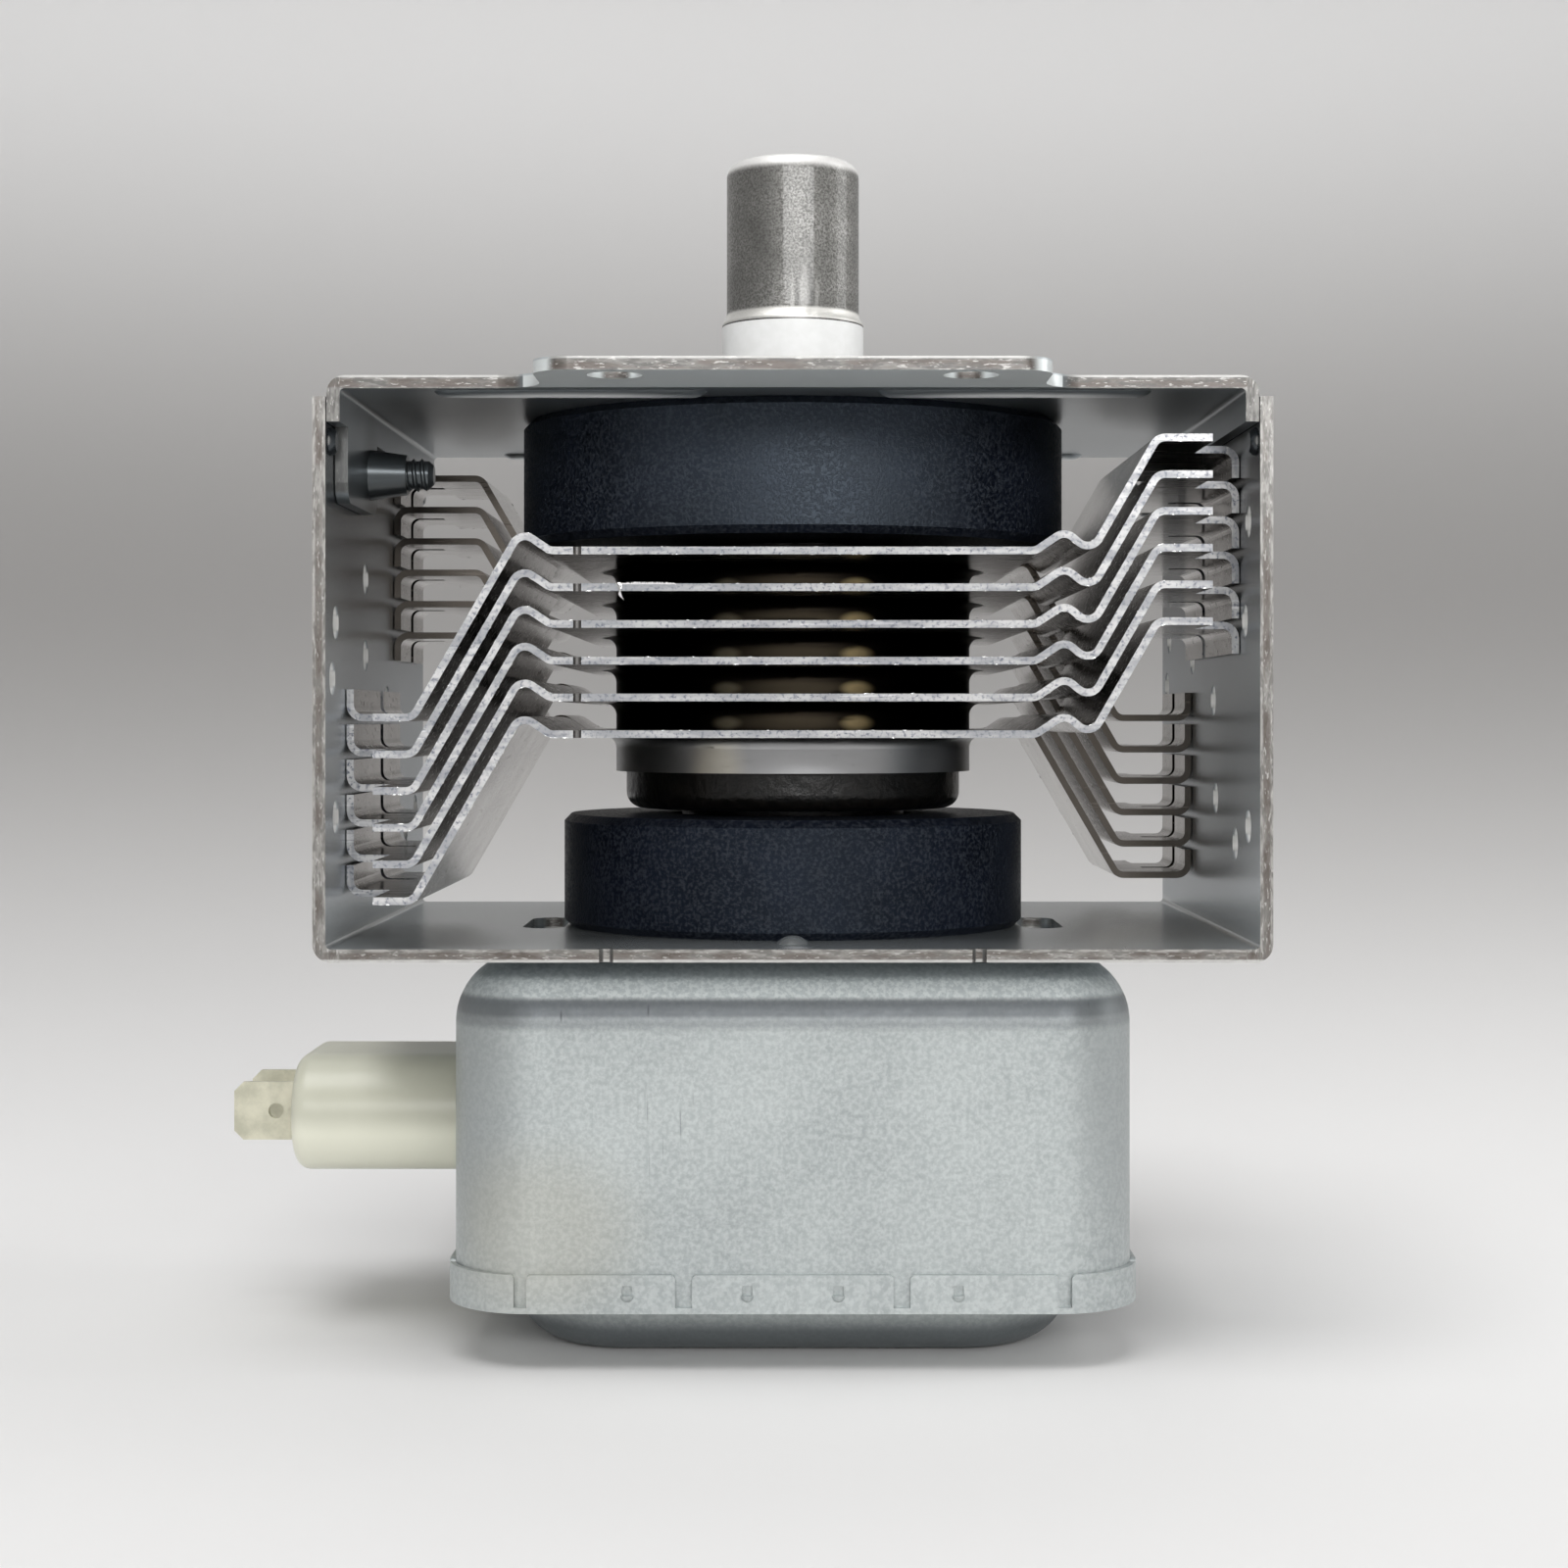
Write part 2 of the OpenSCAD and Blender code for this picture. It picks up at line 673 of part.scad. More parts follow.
// Screw through the left wall into the boss of the fixing tab
module yoke_screw() {
    head_x = -yoke_w / 2;
    shank_len = yoke_w / 2 - rim_in_x + screw_reach - screw_tip;
    translate([head_x, -screw_y, screw_z]) rotate([0, 90, 0]) {
        cylinder(d = screw_d, h = shank_len);
        translate([0, 0, shank_len]) cylinder(d1 = screw_d, d2 = screw_d - 2 * screw_tip, h = screw_tip);
        difference() {
            translate([0, 0, -screw_head_h])
                cylinder(d1 = screw_crown_d, d2 = screw_head_d, h = screw_head_h);
            for (turn = [0, 90]) rotate(turn) translate([0, 0, -screw_head_h])
                cube([screw_recess_w, screw_recess_len, 2 * screw_recess_depth], center = true);
        }
    }
}

module yoke_screws() {
    color(zinc) for (turn = [0, 180]) rotate(turn) yoke_screw();
}

// Middle line of a fin's section: left wing down, right wing up
wing_path = [
    [-lip_x, lip_line_h - wing_drop],
    [-lip_x, -wing_drop],
    [-hump_x - (apex_z + wing_drop) * wing_run, -wing_drop],
    [-hump_x, apex_z],
    [-root_x, 0],
    [root_x, 0],
    [hump_x, apex_z],
    [valley_x, valley_z],
    [valley_x + (wing_rise - valley_z) * wing_run, wing_rise],
    [lip_x, wing_rise],
    [lip_x, wing_rise - lip_line_h]
];

// Sheet of constant thickness along a path, between two depths
module bent_sheet(path, y0, y1) {
    along_y(y0, y1) polygon(concat(
        sheet_face(path, fin_bend_r, fin_t / 2),
        reversed(sheet_face(path, fin_bend_r, -fin_t / 2))
    ));
}

// Cut at both wing ends between two depths, as high as the whole fin
module wing_end_cut(inner_x, y0, y1) {
    for (side = [0, 1]) mirror([side, 0, 0])
        translate([inner_x, y0, -wing_drop - cut])
            cube([lip_x + fin_t + cut - inner_x, y1 - y0, wing_drop + wing_rise + lip_h + 2 * cut]);
}

// Drawn collar: a rounded root that turns down into a sleeve on the anode
module fin_collar(length) {
    rotate_extrude() {
        intersection() {
            translate([flare_x, flare_z]) difference() {
                circle(collar_root_r + fin_t);
                circle(collar_root_r);
            }
            translate([anode_r, flare_z]) square([flare_x - anode_r, collar_root_r + 2 * fin_t]);
        }
        translate([anode_r, -length]) square([fin_t, length + flare_z]);
    }
}

module fin_sheet(sleeve) {
    half_d = yoke_d / 2;
    notch_x = lip_x + fin_t / 2 - lip_notch_w;
    difference() {
        union() {
            bent_sheet(wing_path, -half_d, slit_y);
            bent_sheet(mirrored(wing_path), slit_y, half_d);
        }
        cylinder(r = flare_x, h = 2 * fin_t, center = true);
        wing_end_cut(root_x, slit_y - slit_w / 2, slit_y + slit_w / 2);
        wing_end_cut(notch_x, -half_d - cut, lip_front_y);
        wing_end_cut(notch_x, lip_split_y - lip_gap / 2, lip_split_y + lip_gap / 2);
        wing_end_cut(notch_x, rear_split_y - lip_gap / 2, rear_split_y + lip_gap / 2);
        wing_end_cut(notch_x, lip_rear_y, half_d + cut);
        for (turn = [0, 180]) rotate(turn) translate([-edge_notch_x, -half_d, 0])
            cylinder(r = edge_notch_r, h = 2 * fin_t, center = true);
    }
    fin_collar(sleeve);
}

// Fin of the stack, counted from the top; the lowest sleeve runs on to the end of the anode
module fin(number) {
    sleeve = number == fin_count ? last_collar_len : collar_len;
    color(bare_aluminium) translate([0, 0, fin_first_z - (number - 1) * fin_pitch])
        fin_sheet(sleeve);
}

module anode_cylinder() {
    seat_h = pole_t;
    color(copper) rotate_extrude() polygon([
        [anode_bore_r, anode_bottom_z + seat_h], [pole_rim_r, anode_bottom_z + seat_h],
        [pole_rim_r, anode_bottom_z], [anode_r, anode_bottom_z], [anode_r, anode_top_z],
        [pole_rim_r, anode_top_z], [pole_rim_r, anode_top_z - seat_h], [anode_bore_r, anode_top_z - seat_h]
    ]);
}

// Groove for one strap in the top edge of a vane, deeper where the strap passes without touching
module strap_cut(r, depth) {
    translate([r, 0, vane_h / 2 - depth / 2])
        cube([strap_groove_w, 2 * vane_t, depth + fit_gap], center = true);
}

module anode_vanes() {
    color(copper) translate([0, 0, anode_mid_z]) for (i = [0:vane_count - 1]) rotate(i * 360 / vane_count)
        difference() {
            intersection() {
                translate([anode_r / 2, 0, 0]) cube([anode_r, vane_t, vane_h], center = true);
                cylinder(r = anode_bore_r, h = 2 * vane_h, center = true);
            }
            cylinder(d = vane_bore_d, h = 2 * vane_h, center = true);
            for (face = [0, 1]) mirror([0, 0, face]) {
                strap_cut(strap_inner_r, strap_groove + (i + face) % 2 * strap_w);
                strap_cut(strap_outer_r, strap_groove + (i + face + 1) % 2 * strap_w);
            }
        }
}

module strap_rings() {
    color(copper) translate([0, 0, anode_mid_z]) for (face = [0, 1], r = [strap_inner_r, strap_outer_r])
        mirror([0, 0, face]) translate([0, 0, vane_h / 2 - strap_groove - fit_gap / 2]) rotate_extrude()
            translate([r - strap_w / 2, 0]) square([strap_w, strap_groove - strap_w / 2]);
}

// Iron funnel whose rim lies in the end of the anode, with its dish towards the vanes
module pole_piece() {
    difference() {
        rotate_extrude() polygon([
            [pole_rim_r - fit_gap, 0], [dish_top_r, 0], [dish_foot_r, -pole_dish],
            [pole_hole_r, -pole_dish], [pole_hole_r, -pole_dish - pole_t],
            [dish_foot_r + dish_wall_shift, -pole_dish - pole_t],
            [dish_top_r + dish_wall_shift, -pole_t], [pole_rim_r - fit_gap, -pole_t]
        ]);
        children();
    }
}

module upper_pole_piece() {
    color(iron) translate([0, 0, anode_top_z]) pole_piece()
        translate([rod_root_x, 0, 0])
            cylinder(r = rod_r + rod_gap, h = 2 * (pole_dish + pole_t + cut), center = true);
}

module lower_pole_piece() {
    color(iron) translate([0, 0, anode_bottom_z]) mirror([0, 0, 1]) pole_piece();
}

// Outline of a seal's sleeve from the anode's end at z = 0 up to its throat
module seal_outline(end_z, throat, shrink) {
    top = seal_h - shrink;
    out_r = seal_r - shrink;
    edge = seal_edge_r - shrink;
    square([out_r, top - edge]);
    square([out_r - edge, top]);
    translate([out_r - edge, top - edge]) circle(edge);
    square([neck_d / 2 - shrink, end_z - throat_h - shrink]);
    square([throat - shrink, end_z + shrink]);
}

// Drawn sleeve, closed on the anode's end and open at its throat
module seal(end_z, throat) {
    rotate_extrude() difference() {
        seal_outline(end_z, throat, 0);
        translate([0, -seal_t]) seal_outline(end_z + seal_t, throat, seal_t);
    }
    rotate_extrude() translate([pole_rim_r - seal_land, 0])
        square([seal_r - pole_rim_r + seal_land, seal_t]);
}

module upper_seal() {
    color(lacquer) translate([0, 0, anode_top_z]) seal(upper_seal_top - anode_top_z, throat_r);
}

module lower_seal() {
    color(lacquer) translate([0, 0, anode_bottom_z]) mirror([0, 0, 1])
        seal(anode_bottom_z - lower_seal_end, stem_throat_r);
}

module antenna_insulator() {
    color(alumina) translate([0, 0, upper_seal_top]) difference() {
        cylinder(d = insulator_d, h = insulator_top - upper_seal_top);
        translate([0, 0, -cut]) cylinder(r = insulator_bore_r, h = insulator_top + 2 * cut);
    }
}

// Section of the cap's outside or inside, shrunk by the wall
module cap_section(shrink) {
    rounded_step(cap_d / 2 - shrink, cap_h - shrink, cap_edge_r - shrink);
}

module antenna_cap() {
    color(drawn_steel) translate([0, 0, insulator_top]) rotate_extrude() {
        difference() {
            cap_section(0);
            cap_section(cap_t);
        }
        difference() {
            translate([cap_d / 2 - cap_t, 0]) square([cap_skirt + cap_t, skirt_h]);
            translate([cap_d / 2 + skirt_r, skirt_h]) circle(skirt_r);
        }
    }
}

module exhaust_tube() {
    flange_r = cap_d / 2 - cap_t - fit_gap;
    color(copper) translate([0, 0, insulator_top]) difference() {
        union() {
            cylinder(r = flange_r, h = tube_flange_t);
            cylinder(r = tube_r, h = tube_len);
            intersection() {
                translate([0, 0, tube_len]) cylinder(r = tube_r, h = pinch_len);
                translate([0, 0, tube_len]) rotate([90, 0, 0]) linear_extrude(2 * tube_r, center = true)
                    polygon([[-tube_r, 0], [tube_r, 0], [pinch_w / 2, pinch_len], [-pinch_w / 2, pinch_len]]);
            }
        }
        translate([0, 0, -cut]) cylinder(r = tube_bore_r, h = tube_len - tube_end_t + cut);
    }
}

// Copper lead from one vane through the upper pole piece to the exhaust tube
module antenna_rod() {
    foot_z = anode_mid_z + vane_h / 2;
    axis_z = rod_bend_z + rod_root_x;
    color(copper) {
        translate([rod_root_x, 0, foot_z]) cylinder(r = rod_r, h = rod_bend_z - foot_z);
        translate([rod_root_x, 0, rod_bend_z]) sphere(rod_r);
        translate([rod_root_x, 0, rod_bend_z]) rotate([0, -45, 0])
            cylinder(r = rod_r, h = rod_root_x * sqrt(2));
        translate([0, 0, axis_z]) sphere(rod_r);
        translate([0, 0, axis_z]) cylinder(r = rod_r, h = insulator_top + tube_len - rod_end_gap - axis_z);
    }
}

module rf_gasket() {
    edge = gasket_h / 2.2;
    color(tin) rotate_extrude() translate([gasket_mid_r, gasket_h / 2])
        rounded_rect(gasket_w, gasket_h, edge);
}

// End hat with a hole for the centre lead
module end_hat(hole_d) {
    difference() {
        union() {
            cylinder(d = hat_d, h = hat_t);
            translate([0, 0, -hat_gap]) cylinder(r = filament_r - filament_wire_r - spigot_gap, h = hat_gap);
        }
        translate([0, 0, -hat_gap - cut]) cylinder(d = hole_d, h = hat_t + hat_gap + 2 * cut);
    }
}

module upper_end_hat() {
    color(tungsten) translate([0, 0, anode_mid_z + filament_h / 2]) end_hat(lead_d);
}

module lower_end_hat() {
    color(tungsten) translate([0, 0, anode_mid_z - filament_h / 2]) mirror([0, 0, 1])
        end_hat(lead_d + hat_hole_gap);
}

// Helix about Z, turned on its side so that the wire never runs along X
module filament() {
    steps = filament_turns * filament_steps;
    rise = filament_h - 2 * filament_wire_r - fit_gap;
    color(tungsten) translate([0, 0, anode_mid_z]) rotate([0, 90, 0]) wire(
        [for (i = [0:steps]) let (a = 360 * filament_turns * i / steps)
            [rise * (i / steps - 0.5), filament_r * cos(a), filament_r * sin(a)]],
        filament_wire_r, filament_sides
    );
}

module centre_lead() {
    top_z = anode_mid_z + filament_h / 2 + hat_t;
    color(tungsten) translate([0, 0, lead_end_z]) cylinder(d = lead_d, h = top_z - lead_end_z);
}

module side_lead() {
    top_z = anode_mid_z - filament_h / 2 - hat_t;
    color(tungsten) translate([side_lead_x, 0, lead_end_z]) cylinder(d = lead_d, h = top_z - lead_end_z);
}

module stem_insulator() {
    color(alumina) translate([0, 0, lower_seal_end - stem_h]) difference() {
        cylinder(r = stem_throat_r, h = stem_h);
        for (x = [0, side_lead_x]) translate([x, 0, -cut])
            cylinder(d = lead_d + fit_gap, h = stem_h + 2 * cut);
    }
}

module filter_box() {
    color(zinc) difference() {
        translate([0, 0, box_bottom_z]) difference() {
            drawn_block(box_w, box_d, box_h, box_corner_r, box_edge_r);
            translate([0, 0, -cut]) drawn_block(
                box_w - 2 * box_t, box_d - 2 * box_t, box_h - box_t + cut,
                box_corner_r - box_t, box_edge_r - box_t
            );
        }
        translate([0, 0, foot_z - box_t - cut]) cylinder(r = neck_hole_r, h = box_t + 2 * cut);
        oval_bar(-box_w / 2 - cut, -box_w / 2 + box_t + cut, block_w + 2 * fit_gap, block_h + 2 * fit_gap);
    }
}

// Slot that stands on the lid's floor and rounds the flange's top edge where it comes out
module flange_slot(w) {
    h = flange_h - box_t;
    rotate([90, 0, 0]) linear_extrude(4 * box_t, center = true) {
        translate([-w / 2, 0]) square([w, h + cut]);
        for (side = [-1, 1]) difference() {
            translate([side * w / 2, h]) square(2 * slot_edge_r, center = true);
            translate([side * (w / 2 + slot_edge_r), h - slot_edge_r]) circle(slot_edge_r);
        }
    }
}

// Slots through the flange on two opposite sides, at places along the side
module flange_slots(reach, side_len) {
    corner_at = side_len / 2 - slot_corner;
    for (sx = [-1, 1], sy = [-1, 1]) {
        translate([sx * corner_at, sy * reach, box_t]) flange_slot(corner_slot_w);
        translate([sx * slot_mid, sy * reach, box_t]) flange_slot(flange_slot_w);
    }
}

// What a child makes at the front flange's middle, repeated at every clinch of both long sides
module at_clinches(flange_y) {
    for (side = [0, 1], sx = [-1, 1], x = clinch_places)
        mirror([0, side, 0]) translate([sx * x, -flange_y, clinch_z]) children();
}

// Half dome pressed out of the flange, flat on top
module clinch_dome() {
    intersection() {
        translate([0, clinch_r - clinch_proud, 0]) sphere(clinch_r);
        translate([-clinch_r, -clinch_r, -clinch_r])
            cube([2 * clinch_r, clinch_r + box_t / 2, clinch_r]);
    }
}

// Pocket that the punch leaves above the dome
module clinch_pocket() {
    translate([-clinch_pocket_w / 2, -cut, 0])
        cube([clinch_pocket_w, clinch_pocket_depth + cut, clinch_pocket_h]);
}

module filter_lid() {
    out_w = flange_in_w + 2 * box_t;
    out_d = flange_in_d + 2 * box_t;
    out_r = flange_corner_r + box_t;
    color(zinc) translate([0, 0, box_bottom_z - box_t]) difference() {
        union() {
            linear_extrude(flange_h) rounded_rect(out_w, out_d, out_r);
            mirror([0, 0, 1]) drawn_block(bulge_w, bulge_d, bulge_h, bulge_corner_r, bulge_edge_r);
            at_clinches(out_d / 2) clinch_dome();
        }
        translate([0, 0, box_t]) linear_extrude(flange_h)
            rounded_rect(flange_in_w, flange_in_d, flange_corner_r);
        translate([0, 0, box_t + cut]) mirror([0, 0, 1]) drawn_block(
            bulge_w - 2 * box_t, bulge_d - 2 * box_t, bulge_h + cut,
            bulge_corner_r - box_t, bulge_edge_r - box_t
        );
        flange_slots(out_d / 2 - box_t / 2, box_w);
        rotate(90) flange_slots(out_w / 2 - box_t / 2, box_d);
        at_clinches(out_d / 2) clinch_pocket();
    }
}

// Choke winding from a tab's inner end to a cathode lead, on the rear side
module choke_coil(lead_x) {
    steps = choke_turns * choke_steps;
    tab_face = tab_spacing / 2 + tab_t / 2;
    helix = [for (i = [0:steps]) let (a = 360 * choke_turns * i / steps - 90)
        [choke_start_x + (lead_x - choke_start_x) * i / steps,
            choke_y + choke_r * cos(a), choke_z + choke_r * sin(a)]];
    wire(
        concat(
            [[choke_start_x, tab_face + solder_gap, choke_z - choke_r]],
            helix,
            [[lead_x, lead_d / 2 + solder_gap, choke_z + choke_r]]
        ),
        choke_wire_r, choke_sides
    );
}

module choke_coil_front() {
    color(enamel) mirror([0, 1, 0]) choke_coil(0);
}

module choke_coil_rear() {
    color(enamel) choke_coil(side_lead_x);
}

module choke_core(side) {
    color(ferrite) translate([choke_start_x - choke_core_lead, side * choke_y, choke_z]) rotate([0, 90, 0])
        cylinder(d = choke_core_d, h = choke_core_len);
}

// Push-on tab with its inner end in the box, on the rear side
module terminal_tab() {
    half_w = tab_w / 2;
    tip_x = -box_w / 2 - block_reach - tab_reach;
    slope_x = tip_x + tab_tip_cut;
    slope_w = half_w - tab_tip_cut;
    translate([0, tab_spacing / 2 + tab_t / 2, block_z]) rotate([90, 0, 0]) difference() {
        linear_extrude(tab_t) polygon([
            [tip_x, -slope_w], [slope_x, -half_w], [tab_inner_x, -half_w],
            [tab_inner_x, half_w], [slope_x, half_w], [tip_x, slope_w]
        ]);
        translate([tip_x + tab_hole_inset, 0, -cut]) cylinder(d = tab_hole_d, h = tab_t + 2 * cut);
    }
}

module terminal_front() {
    color(tin) mirror([0, 1, 0]) terminal_tab();
}

module terminal_rear() {
    color(tin) terminal_tab();
}

module capacitor_block() {
    length = block_reach + block_inside;
    inner_x = -box_w / 2 + block_inside;
    color(ivory) difference() {
        translate([inner_x, 0, block_z]) rotate([0, -90, 0]) rotate(90)
            drawn_block(block_w, block_h, length, block_h / 2, block_end_r);
        for (side = [-1, 1]) translate([inner_x - length / 2, side * tab_spacing / 2, block_z])
            cube([length + 2 * cut, tab_t + fit_gap, tab_w + fit_gap], center = true);
    }
}

module capacitor_plate() {
    plate_x = -box_w / 2 + box_t;
    color(tin) difference() {
        translate([plate_x, 0, block_z]) rotate([90, 0, 90]) linear_extrude(plate_t)
            rounded_rect(plate_w, plate_h, plate_corner_r);
        oval_bar(plate_x - cut, plate_x + plate_t + cut, block_w + 2 * fit_gap, block_h + 2 * fit_gap);
    }
}

antenna_cap();
antenna_insulator();
exhaust_tube();
antenna_rod();
rf_gasket();
upper_seal();
upper_pole_piece();
anode_cylinder();
anode_vanes();
strap_rings();
lower_pole_piece();
lower_seal();
upper_end_hat();
filament();
lower_end_hat();
centre_lead();
side_lead();
stem_insulator();
upper_magnet();
lower_magnet();
yoke_plate();
yoke_frame();
fin(1);  // fin_1
fin(2);  // fin_2
fin(3);  // fin_3
fin(4);  // fin_4
fin(5);  // fin_5
fin(6);  // fin_6
yoke_screws();
filter_box();
filter_lid();
choke_coil_front();
choke_coil_rear();
choke_core(-1);  // choke_core_front
choke_core(1);  // choke_core_rear
capacitor_block();
capacitor_plate();
terminal_front();
terminal_rear();
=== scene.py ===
# %% [markdown]
# # A magnetron, dressed for its portrait
# The CAD model already has every sheet, magnet and fin in its real place. This lesson gives each
# piece its finish (zinc, bare aluminium, ferrite, lacquer, alumina) and adds the fine things that
# CAD leaves out: screw threads, the knitted gasket, the burrs of the sheared fins, and the chip and
# the torn flake that hang on one of them.
# Everything is in metres, in the frame of the CAD model: X right, Y away from the viewer, Z up.

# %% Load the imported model
import math

import bpy
import numpy as np
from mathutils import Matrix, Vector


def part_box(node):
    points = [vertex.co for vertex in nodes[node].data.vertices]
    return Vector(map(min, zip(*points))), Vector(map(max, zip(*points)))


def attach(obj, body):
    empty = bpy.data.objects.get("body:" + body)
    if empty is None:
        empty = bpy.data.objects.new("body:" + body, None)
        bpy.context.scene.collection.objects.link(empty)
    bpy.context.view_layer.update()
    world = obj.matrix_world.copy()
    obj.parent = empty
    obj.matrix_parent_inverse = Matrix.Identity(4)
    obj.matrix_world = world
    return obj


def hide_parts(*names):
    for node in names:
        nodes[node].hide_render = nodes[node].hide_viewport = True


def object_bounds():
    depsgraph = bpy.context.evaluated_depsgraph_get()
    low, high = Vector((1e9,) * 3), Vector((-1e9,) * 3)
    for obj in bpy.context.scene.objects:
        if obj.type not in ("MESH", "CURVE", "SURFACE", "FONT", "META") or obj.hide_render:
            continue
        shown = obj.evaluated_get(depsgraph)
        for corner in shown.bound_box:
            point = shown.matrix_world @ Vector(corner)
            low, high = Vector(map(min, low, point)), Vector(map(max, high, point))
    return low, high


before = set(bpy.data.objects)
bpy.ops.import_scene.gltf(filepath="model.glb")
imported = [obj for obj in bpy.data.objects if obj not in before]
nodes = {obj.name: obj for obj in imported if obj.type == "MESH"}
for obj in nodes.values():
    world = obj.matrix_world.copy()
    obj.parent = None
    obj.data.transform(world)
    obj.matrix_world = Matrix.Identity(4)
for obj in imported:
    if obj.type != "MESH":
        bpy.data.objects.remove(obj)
cad_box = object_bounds()
MM = 0.001
print("loaded", len(nodes), "CAD pieces, box in metres:", cad_box)

# %% [markdown]
# ## Tools for shader trees
# A material is a small graph. These helpers keep the cells short: one places a node with its
# settings and inputs, others wrap the nodes that are used most and return their output.


# %% Node helpers
def add_node(tree, kind, inputs=None, **settings):
    """One node in a tree. Settings are its properties; an input is a plain value or an output."""
    node = tree.nodes.new(kind)
    for name, value in settings.items():
        setattr(node, name, value)
    for name, value in (inputs or {}).items():
        if isinstance(value, bpy.types.NodeSocket):
            tree.links.new(value, node.inputs[name])
        else:
            node.inputs[name].default_value = value
    return node


def combine(tree, operation, *terms, clamp=False):
    """A Math node on outputs or plain numbers; clamp keeps its result from 0 to 1."""
    settings = {"operation": operation, "use_clamp": clamp}
    return add_node(tree, "ShaderNodeMath", dict(enumerate(terms)), **settings).outputs[0]


def on_vectors(tree, operation, *terms):
    """A Vector Math node. Returns a value for a length, and a vector otherwise."""
    node = add_node(tree, "ShaderNodeVectorMath", dict(enumerate(terms)), operation=operation)
    return node.outputs["Value" if operation == "LENGTH" else "Vector"]


def split(tree, vector):
    """The X, Y and Z of a vector."""
    return add_node(tree, "ShaderNodeSeparateXYZ", {"Vector": vector}).outputs


def soft_step(tree, value, low, high, start=0.0, end=1.0):
    """A smooth threshold: start where value is below low, end where it is above high."""
    inputs = {"Value": value, "From Min": low, "From Max": high, "To Min": start, "To Max": end}
    return add_node(tree, "ShaderNodeMapRange", inputs, interpolation_type="SMOOTHSTEP").outputs["Result"]


print("helpers ready for Blender", bpy.app.version_string)

# %% [markdown]
# ## Node groups
# A pattern that several finishes use is a group with its own inputs. Groups only measure and give
# masks from 0 to 1; colours and shaders stay in the materials.


# %% Group helpers
def new_group(name, **inputs):
    """An empty group. An input's default is a number, a triple, or None for a vector that is linked."""
    tree = bpy.data.node_groups.new(name, "ShaderNodeTree")
    for label, default in inputs.items():
        kind = "NodeSocketFloat" if isinstance(default, float) else "NodeSocketVector"
        item = tree.interface.new_socket(name=label.replace("_", " "), in_out="INPUT", socket_type=kind)
        if default is not None:
            item.default_value = default
    return tree, add_node(tree, "NodeGroupInput").outputs


def group_outputs(tree, **masks):
    """Makes the group's outputs and links a mask to each."""
    for label in masks:
        tree.interface.new_socket(name=label, in_out="OUTPUT", socket_type="NodeSocketFloat")
    add_node(tree, "NodeGroupOutput", masks)
    print("group", tree.name, "with", len(tree.nodes), "nodes")


print("group helpers ready")

# %% [markdown]
# ## Mottle
# No metal surface is even: rolling, plating and handling leave cloudy patches. A noise texture
# pushed through a soft threshold gives a mask from 0 to 1. Every finish uses this group at its
# own scale, from the fine grain of ferrite to the broad clouds on the zinc.

# %% Group: mottle
mottle, given = new_group("Mottle", Vector=None, Scale=500.0, Detail=4.0, Low=0.4, High=0.6)
wanted = {name: given[name] for name in ("Vector", "Scale", "Detail")}
noise = add_node(mottle, "ShaderNodeTexNoise", {"Roughness": 0.6, **wanted})
group_outputs(mottle, Mask=soft_step(mottle, noise.outputs["Fac"], given["Low"], given["High"]))

# %% [markdown]
# ## Scratches
# Sheet metal is dragged over tools and other parts, so its marks are long and thin. The same
# noise becomes a scratch when the coordinates are squeezed along one direction: a multiply
# stretches the pattern along the drag. A second, coarse noise breaks the lines up.

# %% Group: scratches
scratches, given = new_group("Scratches", Vector=None, Squeeze=(1500.0, 1500.0, 40.0), Cover=0.35)
squeezed = on_vectors(scratches, "MULTIPLY", given["Vector"], given["Squeeze"])
lines = add_node(scratches, "ShaderNodeTexNoise", {"Vector": squeezed, "Scale": 1.0, "Detail": 2.0})
thin = soft_step(scratches, lines.outputs["Fac"], 0.62, 0.7)
coarse = {"Vector": given["Vector"], "Scale": 70.0, "Detail": 3.0}
patches = add_node(scratches, "ShaderNodeTexNoise", coarse)
cover_to = combine(scratches, "ADD", given["Cover"], 0.15)
where = soft_step(scratches, patches.outputs["Fac"], given["Cover"], cover_to, 1.0, 0.0)
group_outputs(scratches, Mask=combine(scratches, "MULTIPLY", thin, where))

# %% [markdown]
# ## Sheared edges
# The yoke and the fins are stamped. Where the shear cut them, the bare metal shows: bright on
# aluminium, grey with a brown line on zinc-coated steel. On this object the long cut edges face
# forwards and backwards at the ends of the sheets, so the mask is 1 where the surface's normal lies
# along Y and the place is at least a given reach from the middle. The group also gives the cut edges
# inside that reach, such as the slits of the fins, all that lies beyond it, and the rear half.

# %% Group: sheared edge
sheared, given = new_group("Sheared edge", Vector=None, Reach=0.0349)
normal = split(sheared, add_node(sheared, "ShaderNodeNewGeometry").outputs["Normal"])
facing = soft_step(sheared, combine(sheared, "ABSOLUTE", normal["Y"]), 0.8, 0.95)
place = split(sheared, given["Vector"])
beyond = combine(sheared, "GREATER_THAN", combine(sheared, "ABSOLUTE", place["Y"]), given["Reach"])
group_outputs(
    sheared,
    Mask=combine(sheared, "MULTIPLY", facing, beyond),
    Inner=combine(sheared, "SUBTRACT", facing, beyond, clamp=True),
    Beyond=beyond,
    Rear=combine(sheared, "GREATER_THAN", place["Y"], 0.0),
)

# %% [markdown]
# ## Bands
# Some marks follow the shape: the rubbed line round the shoulder of the box lies at one height, and
# the dulled sleeves of the fins lie within one radius of the axis. This group measures both: a soft
# band of heights, and a soft disc round the antenna axis.

